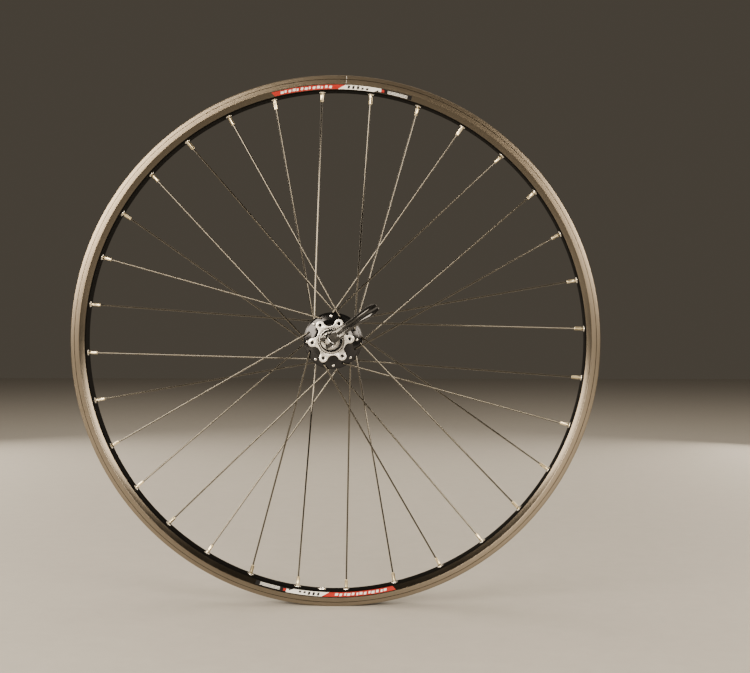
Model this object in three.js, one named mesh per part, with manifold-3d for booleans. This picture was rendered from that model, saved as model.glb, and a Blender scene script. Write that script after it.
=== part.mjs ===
// A rear bicycle wheel for a disc brake, held in its frame by a quick release skewer.
// Millimetres. The origin is the middle of the axle. +Y runs along the axle from the disc side to the drive
// side, +Z is up and -X is forward. Angles in the plane of the wheel run from +X towards +Z.
import * as THREE from "three";
import { mergeVertices } from "three/addons/utils/BufferGeometryUtils.js";
import Module from "manifold-3d";

const wasm = await Module();
wasm.setup();

// ---------- driving dimensions ----------
const GAP = 0.3; // between pieces that touch on the real wheel

const SPOKES = 32;
const NIPPLE_PITCH = 360 / SPOKES;
const FIRST_NIPPLE = 2.75; // degrees, a disc-side nipple
const CROSS_TURN = 45; // degrees between a spoke's hub hole and its nipple, laced over two spokes
const SPOKE_RADIUS = 1.0;

const RIM_OUTER = 317; // tips of the tyre hooks, for a 622 mm bead seat
const RIM_HALF_WIDTH = 14;
const RIM_INNER = 299.5; // face that the nipples come out of
const WELL_RADIUS = 307; // bottom of the tyre well
const VALVE_ANGLE = FIRST_NIPPLE - 8.5 * NIPPLE_PITCH; // midway between two nipples, near the bottom

const LOCKNUT_FACE = 67.5; // half of the 135 mm between the frame's dropouts
const STUB_END = 73; // the axle's ends stand 5.5 mm past the locknuts
const AXLE_RADIUS = 5;
const AXLE_BORE = 2.9;

const HOLE_CIRCLE = 29; // radius of the spoke holes in each flange
const FLANGE_RADIUS = 33.5;
const FLANGE_HALF = 1.6; // half of a flange's thickness
const DISC_FLANGE_Y = -35;
const DRIVE_FLANGE_Y = 20;

const ROTOR_FACE_Y = -(LOCKNUT_FACE - 15.3); // where the brake disc sits
const ROTOR_BOLT_CIRCLE = 22;
const ROTOR_BOLT_ANGLE = 5.7;

const BEARING_OUTER = 11; // 10 x 22 x 6 mm cartridge bearings
const BEARING_WIDTH = 6;

const RATCHET_TEETH = 24;
const PAWLS = 3;

const LEVER_ANGLE = 35.7; // where the closed lever points, between two lobes of the disc mount
const LEVER_REACH = 67; // from the pivot to the lever's tip

// ---------- materials ----------
const material = (color, roughness, metalness) =>
  new THREE.MeshStandardMaterial({ color, roughness, metalness });
const RIM_BLACK = material(0x1c1b1a, 0.42, 0.7);
const SHELL_BLACK = material(0x101113, 0.3, 0.6);
const SPOKE_BLACK = material(0x161514, 0.35, 0.8);
const SLEEVE_RED = material(0xd8281c, 0.4, 0.6);
const SILVER = material(0xd8d4cc, 0.25, 1.0);
const NICKEL = material(0xd9c9a2, 0.3, 1.0);
const STEEL = material(0x9b9a98, 0.35, 1.0);
const RUBBER = material(0x141414, 0.8, 0.0);

// ---------- solids ----------
const degrees = THREE.MathUtils.degToRad;

// A closed three.js geometry as a manifold solid with its faces pointing out.
function solid(geometry) {
  const bare = geometry.index ? geometry.toNonIndexed() : geometry.clone();
  const positions = new THREE.BufferGeometry().setAttribute("position", bare.getAttribute("position"));
  const merged = mergeVertices(positions, 1e-4);
  const kept = [];
  const index = merged.index.array;
  for (let i = 0; i < index.length; i += 3) {
    const [a, b, c] = [index[i], index[i + 1], index[i + 2]];
    if (a !== b && b !== c && a !== c) kept.push(a, b, c);
  }
  const build = (triangles) =>
    new wasm.Manifold(
      new wasm.Mesh({
        numProp: 3,
        vertProperties: new Float32Array(merged.attributes.position.array),
        triVerts: new Uint32Array(triangles),
      }),
    );
  const made = build(kept);
  if (made.volume() >= 0) return made;
  const turned = [];
  for (let i = 0; i < kept.length; i += 3) turned.push(kept[i], kept[i + 2], kept[i + 1]);
  return build(turned);
}

function geometryOf(manifold) {
  const mesh = manifold.getMesh();
  const geometry = new THREE.BufferGeometry();
  const count = mesh.numProp;
  const positions = new Float32Array(mesh.numVert * 3);
  for (let i = 0; i < mesh.numVert; i++)
    positions.set(mesh.vertProperties.subarray(i * count, i * count + 3), i * 3);
  geometry.setAttribute("position", new THREE.BufferAttribute(positions, 3));
  geometry.setIndex(new THREE.BufferAttribute(new Uint32Array(mesh.triVerts), 1));
  geometry.computeVertexNormals();
  return geometry;
}

const SMALL_SEGMENTS = 20;
const HUB_SEGMENTS = 32;

// A ring or disc about the Y axis from its half section: [radius, y] points, closed on itself.
function turned(section, segments) {
  const points = [...section, section[0]].map(([r, y]) => new THREE.Vector2(r, y));
  return solid(new THREE.LatheGeometry(points, segments));
}

const ring = (inner, outer, y0, y1, segments = SMALL_SEGMENTS) =>
  turned([[inner, y0], [outer, y0], [outer, y1], [inner, y1]], segments);

const disc = (radius, y0, y1, segments = SMALL_SEGMENTS) => turned([[0, y0], [radius, y0], [radius, y1], [0, y1]], segments);

// A cylinder between two points.
function rod(from, to, radius, sides = 8, endRadius = radius) {
  const along = new THREE.Vector3().subVectors(to, from);
  const geometry = new THREE.CylinderGeometry(endRadius, radius, along.length(), sides);
  geometry.translate(0, along.length() / 2, 0);
  const up = new THREE.Vector3(0, 1, 0);
  geometry.applyQuaternion(new THREE.Quaternion().setFromUnitVectors(up, along.clone().normalize()));
  geometry.translate(from.x, from.y, from.z);
  return solid(geometry);
}

// A point at a radius and angle in the plane of the wheel, at a place along the axle.
const polar = (radius, angle, y) =>
  new THREE.Vector3(radius * Math.cos(degrees(angle)), y, radius * Math.sin(degrees(angle)));

// An outline drawn in the plane of the wheel (x to +X, y to +Z), extruded from y0 to y1 along the axle.
function plate(shape, y0, y1, curveSegments = 6) {
  const geometry = new THREE.ExtrudeGeometry(shape, { depth: y1 - y0, bevelEnabled: false, curveSegments });
  geometry.rotateX(Math.PI / 2);
  geometry.translate(0, y1, 0);
  return solid(geometry);
}

const joined = (pieces) => pieces.reduce((whole, piece) => whole.add(piece));

const wheel = new THREE.Group();

function add(name, manifold, finish, parent = wheel) {
  const mesh = new THREE.Mesh(geometryOf(manifold), finish);
  mesh.name = name;
  parent.add(mesh);
  return mesh;
}

// ---------- rim ----------
// One side of the hollow aluminium section, from the tyre well round the hook to the spoke face.
const rimSide = (side) => [
  [WELL_RADIUS, side * 6],
  [311, side * 8.6],
  [311, side * 12.2],
  [RIM_OUTER, side * 12.2],
  [RIM_OUTER - 0.5, side * RIM_HALF_WIDTH],
  [306.7, side * RIM_HALF_WIDTH],
  [300.1, side * 10],
  [RIM_INNER, side * 8.8],
];
const cavitySide = (side) => [
  [WELL_RADIUS - 1.4, side * 5.2],
  [308.8, side * 10],
  [307.4, side * 12.3],
  [RIM_INNER + 1.8, side * 8.8],
];
const RIM_SEGMENTS = 48;

function makeRim() {
  const outline = [...rimSide(-1), ...rimSide(1).reverse()];
  const cavity = [...cavitySide(-1), ...cavitySide(1).reverse()];
  const solidRim = turned(outline, RIM_SEGMENTS).subtract(turned(cavity, RIM_SEGMENTS));
  const [NIPPLE_HOLE, ACCESS_HOLE, VALVE_HOLE] = [2.7, 4.2, 4.25];
  const cuts = [rod(polar(RIM_INNER - 3, VALVE_ANGLE, 0), polar(312, VALVE_ANGLE, 0), VALVE_HOLE, 8)];
  for (let i = 0; i < SPOKES; i++) {
    const angle = FIRST_NIPPLE + i * NIPPLE_PITCH;
    cuts.push(rod(polar(RIM_INNER - 3, angle, 0), polar(304, angle, 0), NIPPLE_HOLE, 6));
    cuts.push(rod(polar(303.5, angle, 0), polar(312, angle, 0), ACCESS_HOLE, 6));
  }
  return solidRim.subtract(wasm.Manifold.union(cuts));
}
add("rim", makeRim(), RIM_BLACK);

// ---------- hub shell ----------
// The six-lobed plate that the brake disc bolts to.
function rotorPlate() {
  const LOBE = 4.7;
  const WEB = 16.6;
  const THICK = 8.7;
  const holes = [];
  const pieces = [disc(WEB, ROTOR_FACE_Y, ROTOR_FACE_Y + THICK)];
  for (let i = 0; i < 6; i++) {
    const angle = ROTOR_BOLT_ANGLE + i * 60;
    const centre = polar(ROTOR_BOLT_CIRCLE, angle, 0);
    const lobe = new THREE.Shape();
    const [out, side] = [polar(1, angle, 0), polar(1, angle + 90, 0)];
    const corner = (r, s) => [out.x * r + side.x * s, out.z * r + side.z * s];
    lobe.moveTo(...corner(10, -7.2));
    lobe.lineTo(...corner(17.2, -6.2));
    lobe.absarc(centre.x, centre.z, LOBE, degrees(angle - 80), degrees(angle + 80), false);
    lobe.lineTo(...corner(17.2, 6.2));
    lobe.lineTo(...corner(10, 7.2));
    pieces.push(plate(lobe, ROTOR_FACE_Y, ROTOR_FACE_Y + THICK, 3));
    const start = polar(ROTOR_BOLT_CIRCLE, angle, ROTOR_FACE_Y - 1);
    holes.push(rod(start, start.clone().setY(ROTOR_FACE_Y + THICK + 1), 2.1, 6));
  }
  return joined(pieces).subtract(joined(holes));
}

const CAVITY_RADIUS = 18.2; // the room for the ratchet at the drive end
const SEAT_RADIUS = BEARING_OUTER + GAP;

const FLANGE_FLAT = 30.4; // the flanges thin towards their edges from here

const flange = (y, innerRadius, outerRadius) => [
  [innerRadius, y - FLANGE_HALF - 0.6],
  [FLANGE_FLAT, y - FLANGE_HALF],
  [FLANGE_RADIUS, y - 0.5],
  [FLANGE_RADIUS, y + 0.5],
  [FLANGE_FLAT, y + FLANGE_HALF],
  [outerRadius, y + FLANGE_HALF + 0.6],
];

function makeShell() {
  const section = [
    [SEAT_RADIUS, -55],
    [14, -55],
    [14, ROTOR_FACE_Y + 0.1],
    [16.4, ROTOR_FACE_Y + 0.1],
    [16.6, -42],
    ...flange(DISC_FLANGE_Y, 23, 20),
    [14.3, -30],
    [14.3, 6.3],
    [19.6, 7.8],
    [20.6, 13.6],
    ...flange(DRIVE_FLANGE_Y, 23, 24),
    [20.5, 22.6],
    [CAVITY_RADIUS, 22.6],
    [CAVITY_RADIUS, 8.4],
    [SEAT_RADIUS, 8.4],
    [SEAT_RADIUS, 0.8],
    [9, 0.8],
    [9, -48.3],
    [SEAT_RADIUS, -48.3],
  ];
  const bore = [[0, -60], [SEAT_RADIUS, -60], [SEAT_RADIUS, -48.3], [9, -48.3], [9, -30], [0, -30]];
  const holes = [];
  const SPOKE_HOLE = 1.35;
  for (const [y, shift] of [[DISC_FLANGE_Y, 0], [DRIVE_FLANGE_Y, NIPPLE_PITCH]]) {
    for (let i = 0; i < SPOKES / 2; i++) {
      const start = polar(HOLE_CIRCLE, FIRST_NIPPLE + shift + i * 2 * NIPPLE_PITCH, y - 4);
      holes.push(rod(start, start.clone().setY(y + 4), SPOKE_HOLE, 5));
    }
  }
  return turned(section, HUB_SEGMENTS).add(rotorPlate()).subtract(turned(bore, HUB_SEGMENTS)).subtract(wasm.Manifold.union(holes));
}
add("hub_shell", makeShell(), SHELL_BLACK);
add("hub_sleeve", turned([[14.6, -28.3], [16.7, -28.3], [17.3, -27.7], [17.3, 5.4], [16.7, 6], [14.6, 6]], HUB_SEGMENTS),
  SLEEVE_RED);

// ---------- bearings ----------
// A cartridge bearing: both rings and the recessed seals between them as one closed body.
function bearing(y) {
  const half = BEARING_WIDTH / 2;
  const inner = AXLE_RADIUS + GAP;
  const face = (side) => [
    [inner, y + side * half],
    [7.2, y + side * half],
    [8.3, y + side * (half - 0.6)],
    [9.4, y + side * half],
    [BEARING_OUTER, y + side * half],
  ];
  return turned([...face(-1), ...face(1).reverse()], 16);
}
const BEARINGS = {
  bearing_disc_side: -51.6,
  bearing_drive_side: 4.2,
  freehub_bearing_inner: 29,
  freehub_bearing_outer: 57.6,
};
for (const [name, y] of Object.entries(BEARINGS)) add(name, bearing(y), STEEL);

// ---------- axle and what clamps on it ----------
const SLEEVE_BORE = AXLE_RADIUS + GAP;
const SHOULDER = 7; // the axle is thicker between the two hub bearings
add("axle", turned([[AXLE_BORE, -STUB_END], [AXLE_RADIUS, -STUB_END], [AXLE_RADIUS, -48.2], [SHOULDER, -48.2],
  [SHOULDER, 0.8], [AXLE_RADIUS, 0.8], [AXLE_RADIUS, STUB_END], [AXLE_BORE, STUB_END]], SMALL_SEGMENTS), SILVER);
add("freehub_spacer_inner", ring(SLEEVE_BORE, 7, 7.6, 25.6, 24), STEEL);
add("freehub_spacer_outer", ring(SLEEVE_BORE, 7, 32.4, 54.2, 24), STEEL);
add("end_cap_disc_side", turned([[SLEEVE_BORE, -66.4], [8.6, -66.4], [9.2, -65.8], [9.8, -58], [9.8, -56],
  [7, -54.9], [SLEEVE_BORE, -54.9]], SMALL_SEGMENTS), SHELL_BLACK);
add("end_cap_drive_side", turned([[SLEEVE_BORE, 61], [7.4, 61], [8.9, 61.6], [8.9, 64.2], [SLEEVE_BORE, 64.2]],
  SMALL_SEGMENTS), SHELL_BLACK);

// A locknut, whose outer face presses on the inside of the dropout.
function locknut(radius, side, thickness) {
  const face = side * LOCKNUT_FACE;
  const back = side * (LOCKNUT_FACE - thickness);
  return turned([[SLEEVE_BORE, back], [radius, back], [radius, face - side * 0.4], [radius - 0.4, face],
    [SLEEVE_BORE, face]], SMALL_SEGMENTS);
}
add("locknut_disc_side", locknut(10, -1, 0.8), SILVER);
add("locknut_drive_side", locknut(8.6, 1, 3), SILVER);

// ---------- freehub ----------
const CARRIER_RADIUS = 13.2; // the end of the freehub body that carries the pawls
const PAWL_Y0 = 11.5;
const PAWL_Y1 = 17.5;
const SPRING_Y = 14.5;
const PAWL_PIVOT = 10.4; // distance of a pawl's pivot from the axle's centre
const PAWL_ROUND = 1.7;
const PAWL_NOSE = 30; // angle from a pawl's pivot to its nose, about the axle
const SPLINES = 9;

// The first pawl's outline: its pivot is at angle 0 and its nose stands in a notch of the ratchet ring.
function pawlOutline() {
  const shape = new THREE.Shape();
  shape.absarc(PAWL_PIVOT, 0, PAWL_ROUND, degrees(-160), degrees(20), false);
  for (const [radius, angle] of [[13.2, PAWL_NOSE - 12], [15.1, PAWL_NOSE], [13, PAWL_NOSE + 2.5]]) {
    const point = polar(radius, angle, 0);
    shape.lineTo(point.x, point.z);
  }
  shape.closePath();
  return shape;
}

// The room round a pawl, deep enough for it to fold in flush.
function pocketOutline() {
  const shape = new THREE.Shape();
  shape.absarc(PAWL_PIVOT, 0, PAWL_ROUND + 0.35, degrees(-180), degrees(0), false);
  shape.lineTo(14, 0);
  shape.lineTo(14, 9.4);
  shape.lineTo(PAWL_PIVOT - PAWL_ROUND - 0.35, 9.4);
  shape.closePath();
  return shape;
}

const springGroove = () => ring(12.1, 20, SPRING_Y - 0.7, SPRING_Y + 0.7);

// A solid turned about the axle.
const spun = (manifold, angle) => manifold.rotate([0, -angle, 0]);

function makeFreehubBody() {
  const splines = new THREE.Shape();
  const [ROOT, CREST] = [15.9, 17.4];
  for (let i = 0; i < SPLINES; i++) {
    const start = (i * 360) / SPLINES;
    const wide = i === 0 ? 14 : 20; // the narrow spline keys the cassette
    splines.absarc(0, 0, CREST, degrees(start), degrees(start + wide), false);
    splines.absarc(0, 0, ROOT, degrees(start + wide + 1.5), degrees(start + 38.5), false);
  }
  const body = turned([
    [7.4, 8.8], [CARRIER_RADIUS, 8.8], [CARRIER_RADIUS, 19.2], [12.6, 22], [12.6, 23.6], [17.6, 23.6], [18, 24],
    [18, 26.6], [15.9, 26.6], [15.9, 61], [SEAT_RADIUS, 61], [SEAT_RADIUS, 54.3], [9.4, 54.3], [9.4, 32.3],
    [SEAT_RADIUS, 32.3], [SEAT_RADIUS, 25.7], [7.4, 25.7],
  ], 27);
  const pockets = [0, 1, 2].map((i) => spun(plate(pocketOutline(), PAWL_Y0 - 0.3, PAWL_Y1 + 0.3, 4), (i * 360) / PAWLS));
  return body
    .add(plate(splines, 26.4, 60.4, 2).subtract(disc(15.5, 26, 62)))
    .subtract(joined(pockets))
    .subtract(springGroove());
}
add("freehub_body", makeFreehubBody(), NICKEL);
add("freehub_seal", turned([[13.2, 20.6], [17.4, 20.6], [17.9, 21.4], [17.4, 22.2], [13.2, 22.2]], SMALL_SEGMENTS),
  RUBBER);
add("pawl_spring", ring(12.4, 13, SPRING_Y - 0.35, SPRING_Y + 0.35), STEEL);

for (let i = 0; i < PAWLS; i++) {
  const blank = plate(pawlOutline(), PAWL_Y0, PAWL_Y1, 5).subtract(springGroove());
  add(`pawl_${i + 1}`, spun(blank, (i * 360) / PAWLS), STEEL);
}

// The toothed ring pressed into the shell, which the pawls drive.
function makeRatchet() {
  const [TIP, ROOT] = [13.7, 15.6];
  const FACE_LEAN = 4.8; // degrees: each driving face follows the arc of a folding pawl's nose
  const pitch = 360 / RATCHET_TEETH;
  const teeth = new THREE.Shape();
  for (let i = 0; i < RATCHET_TEETH; i++) {
    const start = PAWL_NOSE + 0.6 + i * pitch;
    const low = polar(ROOT, start, 0);
    const high = polar(TIP, start + FACE_LEAN, 0);
    if (i === 0) teeth.moveTo(low.x, low.z);
    else teeth.lineTo(low.x, low.z);
    teeth.lineTo(high.x, high.z);
  }
  teeth.closePath();
  return disc(17.9, 10.6, 18.4, HUB_SEGMENTS).subtract(plate(teeth, 10, 19));
}
add("ratchet_ring", makeRatchet(), STEEL);

// ---------- spokes, each with its nipple ----------
const CROSS_RADIUS = 82.4; // where a spoke weaves behind the last one that it crosses
const WEAVE = 1.2; // how far a woven spoke stands off the middle of the crossing
const NIPPLE_SEAT = RIM_INNER + 2.2; // inside the hollow rim
const NIPPLE_END = RIM_INNER - 12;

// The angle of a spoke at a radius, for a hole at angle 0 and a spoke that leans towards +1 or -1.
function leanAt(radius, lean) {
  const nipple = polar(RIM_INNER, CROSS_TURN * lean, 0);
  const hole = polar(HOLE_CIRCLE, 0, 0);
  const along = nipple.clone().sub(hole).normalize();
  const foot = hole.dot(along);
  const offset = hole.clone().sub(along.clone().multiplyScalar(foot)).length();
  const reach = Math.sqrt(radius ** 2 - offset ** 2) - foot;
  const point = hole.add(along.multiplyScalar(reach));
  return THREE.MathUtils.radToDeg(Math.atan2(point.z, point.x));
}

// A round bar along a bent line: each station is a point and a radius, and a repeated point is a step.
function sweep(stations, sides) {
  const rings = [];
  const last = stations.length - 1;
  const direction = (k) => {
    let [from, to] = [k, k + 1];
    while (to < last && stations[from][0].distanceTo(stations[to][0]) < 1e-6) to += 1;
    while (from > 0 && stations[from][0].distanceTo(stations[to][0]) < 1e-6) from -= 1;
    return new THREE.Vector3().subVectors(stations[to][0], stations[from][0]).normalize();
  };
  let before = direction(0);
  let across = new THREE.Vector3(0, 0, 1).cross(before);
  if (across.length() < 0.1) across = new THREE.Vector3(1, 0, 0).cross(before);
  across.normalize();
  stations.forEach(([point, radius], k) => {
    const after = k < last ? direction(k) : before;
    const mitre = before.clone().add(after).normalize();
    const upright = new THREE.Vector3().crossVectors(before, across);
    for (let i = 0; i < sides; i++) {
      const turn = (i / sides) * 2 * Math.PI;
      const offset = across.clone().multiplyScalar(radius * Math.cos(turn));
      offset.addScaledVector(upright, radius * Math.sin(turn));
      offset.addScaledVector(before, -offset.dot(mitre) / before.dot(mitre));
      rings.push(point.x + offset.x, point.y + offset.y, point.z + offset.z);
    }
    across.applyQuaternion(new THREE.Quaternion().setFromUnitVectors(before, after));
    before = after;
  });
  const index = [];
  for (let k = 0; k < last; k++) {
    for (let i = 0; i < sides; i++) {
      const [a, b] = [k * sides + i, k * sides + ((i + 1) % sides)];
      index.push(a, b, a + sides, b, b + sides, a + sides);
    }
  }
  for (let i = 1; i < sides - 1; i++) {
    index.push(0, i + 1, i);
    index.push(last * sides, last * sides + i, last * sides + i + 1);
  }
  const geometry = new THREE.BufferGeometry();
  geometry.setAttribute("position", new THREE.Float32BufferAttribute(rings, 3));
  geometry.setIndex(index);
  return solid(geometry);
}

// outside is +1 where the spoke leaves its flange on the far side from the middle of the hub.
function makeSpoke(flangeY, holeAngle, lean, outside) {
  const away = Math.sign(flangeY) * outside;
  const head = polar(HOLE_CIRCLE, holeAngle, flangeY - away * (FLANGE_HALF + GAP));
  const elbow = polar(HOLE_CIRCLE, holeAngle, flangeY + away * (FLANGE_HALF + SPOKE_RADIUS + 0.75));
  const straight = 1 - (CROSS_RADIUS - HOLE_CIRCLE) / (RIM_INNER - HOLE_CIRCLE);
  const cross = polar(CROSS_RADIUS, holeAngle + leanAt(CROSS_RADIUS, lean), flangeY * straight - away * WEAVE);
  const nipple = polar(RIM_INNER, holeAngle + CROSS_TURN * lean, 0);
  const along = nipple.clone().sub(cross).normalize();
  const at = (radius) => nipple.clone().add(along.clone().multiplyScalar(radius - RIM_INNER));
  return sweep([
    [head.clone().setY(head.y - away * 1.1), 1.9],
    [head, 1.9],
    [head, SPOKE_RADIUS],
    [elbow, SPOKE_RADIUS],
    [cross, SPOKE_RADIUS],
    [at(NIPPLE_END), SPOKE_RADIUS],
    [at(NIPPLE_END), 2],
    [at(NIPPLE_SEAT), 2],
    [at(NIPPLE_SEAT), 3.1],
    [at(NIPPLE_SEAT + 2.2), 2.4],
  ], 6);
}

// Each flange holds pulling and pushing spokes in turn: the ones that lean towards +1 leave it on the outside.
for (const [side, flangeY, shift] of [["disc", DISC_FLANGE_Y, 0], ["drive", DRIVE_FLANGE_Y, NIPPLE_PITCH]]) {
  for (let i = 0; i < SPOKES / 2; i++) {
    const lean = i % 2 ? 1 : -1;
    const holeAngle = FIRST_NIPPLE + shift + i * 2 * NIPPLE_PITCH;
    const number = String(i + 1).padStart(2, "0");
    add(`spoke_${side}_${number}`, makeSpoke(flangeY, holeAngle, lean, lean), SPOKE_BLACK);
  }
}

// ---------- quick release skewer ----------
// It is made with its closed lever along +X and then turned about the axle.
const skewer = new THREE.Group();
skewer.rotation.y = -degrees(LEVER_ANGLE);
wheel.add(skewer);

const CLAMP_FACE = LOCKNUT_FACE + 7.5; // bites the outside of a 7.5 mm dropout
const HOUSING_RADIUS = 10;
const HOUSING_END = -(CLAMP_FACE + 7);
const CAM_Y = HOUSING_END - 9; // the lever's pivot
const CAM_RADIUS = 7.6;
const CAM_OFFSET = 0.8; // how far the cam is off its pivot, towards the wheel while closed
const SEAT_CLEAR = 8.95; // inside radius of the cam's seat
const CHEEK_HALF = 7; // half of the lever's width at the cam
const SLOT_HALF = 3.1; // half of the slot between the cheeks, where the rod's eye sits
const PIN_RADIUS = 2.3;
const ROD_RADIUS = 2.5;
const ROD_HOLE = ROD_RADIUS + 0.4;

// A cylinder along Z, across the lever.
const pinAt = (x, y, radius, z0, z1, sides = SMALL_SEGMENTS) =>
  rod(new THREE.Vector3(x, y, z0), new THREE.Vector3(x, y, z1), radius, sides);

// A shape drawn with x along the lever and y along the axle, from -half to half across it.
function sideways(shape, half, curveSegments = 8) {
  const geometry = new THREE.ExtrudeGeometry(shape, { depth: 2 * half, bevelEnabled: false, curveSegments });
  geometry.translate(0, 0, -half);
  return solid(geometry);
}

function block(x0, x1, y0, y1, z0, z1) {
  const geometry = new THREE.BoxGeometry(x1 - x0, y1 - y0, z1 - z0);
  geometry.translate((x0 + x1) / 2, (y0 + y1) / 2, (z0 + z1) / 2);
  return solid(geometry);
}

// The clamping piece under the lever, with the hollow seat that the cam rolls in.
function makeHousing() {
  const base = turned([[ROD_HOLE, -CLAMP_FACE], [9.2, -CLAMP_FACE], [9.6, -CLAMP_FACE - 0.4],
    [9.6, -CLAMP_FACE - 1.8], [HOUSING_RADIUS, -CLAMP_FACE - 1.8], [HOUSING_RADIUS, HOUSING_END + 0.6],
    [HOUSING_RADIUS - 0.6, HOUSING_END], [ROD_HOLE, HOUSING_END]], SMALL_SEGMENTS);
  const tube = pinAt(0, CAM_Y, SEAT_CLEAR + 1.3, -6.4, 6.4, 28);
  const cup = tube.intersect(block(-12, 12, CAM_Y + 6.2, HOUSING_END + 3, -12, 12));
  const hollow = pinAt(0, CAM_Y, SEAT_CLEAR, -12, 12, 28);
  const start = new THREE.Vector3(0, CAM_Y, 0);
  const passage = rod(start, start.clone().setY(HOUSING_END + 2), ROD_HOLE, 12);
  return base.add(cup).subtract(hollow).subtract(passage);
}
add("qr_housing", makeHousing(), SHELL_BLACK, skewer);

function makeLever() {
  // The lever from the side: it leaves the outer side of the cam, runs straight, then curls in to its tip.
  const side = new THREE.Shape();
  side.moveTo(4.4, CAM_Y - 6.2);
  side.bezierCurveTo(8, CAM_Y - 8.4, 12, CAM_Y - 10.2, 20, CAM_Y - 10.4);
  side.bezierCurveTo(37, CAM_Y - 10.4, 52, CAM_Y - 5.4, LEVER_REACH - 1.5, CAM_Y + 3.4);
  side.bezierCurveTo(LEVER_REACH + 1, CAM_Y + 5.4, LEVER_REACH - 1, CAM_Y + 8, LEVER_REACH - 4, CAM_Y + 6.6);
  side.bezierCurveTo(51, CAM_Y - 0.6, 35, CAM_Y - 5, 20, CAM_Y - 5.4);
  side.bezierCurveTo(13, CAM_Y - 5.4, 9.5, CAM_Y - 3, 6.6, CAM_Y + 1);
  side.lineTo(4.4, CAM_Y + 1);
  side.closePath();
  const arm = sideways(side, CHEEK_HALF, 6);
  // The lever from the front: narrow behind the cam and wide at the thumb.
  const front = new THREE.Shape();
  front.moveTo(-12, -CHEEK_HALF);
  front.lineTo(9, -CHEEK_HALF);
  front.bezierCurveTo(22, -5, 34, -5, 46, -6.2);
  front.bezierCurveTo(58, -7.4, 68, -6, LEVER_REACH + 1.5, 0);
  front.bezierCurveTo(68, 6, 58, 7.4, 46, 6.2);
  front.bezierCurveTo(34, 5, 22, 5, 9, CHEEK_HALF);
  front.lineTo(-12, CHEEK_HALF);
  front.closePath();
  const faceOn = plate(front, CAM_Y - 15, CAM_Y + 15, 5);
  const cam = pinAt(0, CAM_Y + CAM_OFFSET, CAM_RADIUS, -CHEEK_HALF, CHEEK_HALF);
  const slot = block(-14, 3.4, CAM_Y - 14, CAM_Y + 14, -SLOT_HALF, SLOT_HALF);
  const eyeRoom = block(-14, 4.4, CAM_Y - 4.4, CAM_Y + 14, -SLOT_HALF, SLOT_HALF);
  const pinHole = pinAt(0, CAM_Y, PIN_RADIUS + GAP, -12, 12, 12);
  return arm.intersect(faceOn).add(cam).subtract(slot).subtract(eyeRoom).subtract(pinHole);
}
add("qr_lever", makeLever(), SHELL_BLACK, skewer);

function makePivotPin() {
  const HEAD = 5.2;
  const [inside, outside] = [CHEEK_HALF + GAP, CHEEK_HALF + 1.5];
  const shaft = pinAt(0, CAM_Y, PIN_RADIUS, -inside - 0.2, inside + 0.2, 12);
  const heads = [pinAt(0, CAM_Y, HEAD, inside, outside, 16), pinAt(0, CAM_Y, HEAD, -outside, -inside, 16)];
  const socket = pinAt(0, CAM_Y, 1.5, inside - 1, outside + 1, 6);
  return joined([shaft, ...heads]).subtract(socket);
}
add("qr_pivot_pin", makePivotPin(), SILVER, skewer);

const ROD_END = CLAMP_FACE + 13;
function makeRod() {
  const shank = rod(new THREE.Vector3(0, CAM_Y, 0), new THREE.Vector3(0, ROD_END, 0), ROD_RADIUS, 12);
  const eye = pinAt(0, CAM_Y, 4, -SLOT_HALF + GAP, SLOT_HALF - GAP);
  return shank.add(eye).subtract(pinAt(0, CAM_Y, PIN_RADIUS + GAP, -12, 12, 12));
}
add("qr_rod", makeRod(), SILVER, skewer);

// The nut: a black cone with finger flats on a ridged steel ring.
function makeNut() {
  const bore = ROD_RADIUS + GAP;
  const cone = turned([[bore, CLAMP_FACE], [8.8, CLAMP_FACE], [9.3, CLAMP_FACE + 0.5], [9.3, CLAMP_FACE + 2.6],
    [8.9, CLAMP_FACE + 4.4], [7.4, CLAMP_FACE + 12.4], [6.2, CLAMP_FACE + 15.4], [0, CLAMP_FACE + 16],
    [0, ROD_END + 0.5], [bore, ROD_END + 0.5]], SMALL_SEGMENTS);
  const flats = [0, 1, 2, 3].map((i) => {
    const out = polar(11.3, 45 + i * 90, 0);
    return rod(out.clone().setY(CLAMP_FACE + 4), out.clone().setY(CLAMP_FACE + 18), 4.2, 8);
  });
  return cone.subtract(joined(flats));
}
add("qr_nut", makeNut(), SHELL_BLACK, skewer);

// A conical spring pressed almost flat between the axle's end and a clamping face.
function makeSpring(side) {
  const TURNS = 2.75;
  const [SMALL, LARGE] = [3.8, 7.4];
  const WIRE = 0.5;
  const points = [];
  const STEPS = 27;
  for (let i = 0; i <= STEPS; i++) {
    const part = i / STEPS;
    const height = STUB_END + GAP + WIRE + part * (CLAMP_FACE - STUB_END - 2 * (GAP + WIRE));
    points.push(polar(SMALL + part * (LARGE - SMALL), part * TURNS * 360, side * height));
  }
  return sweep(points.map((point) => [point, WIRE]), 4);
}
add("qr_spring_lever_side", makeSpring(-1), STEEL, skewer);
add("qr_spring_nut_side", makeSpring(1), STEEL, skewer);

export default wheel;
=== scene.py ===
import math
import random

import bmesh
import bpy
from mathutils import Matrix, Vector


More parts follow.
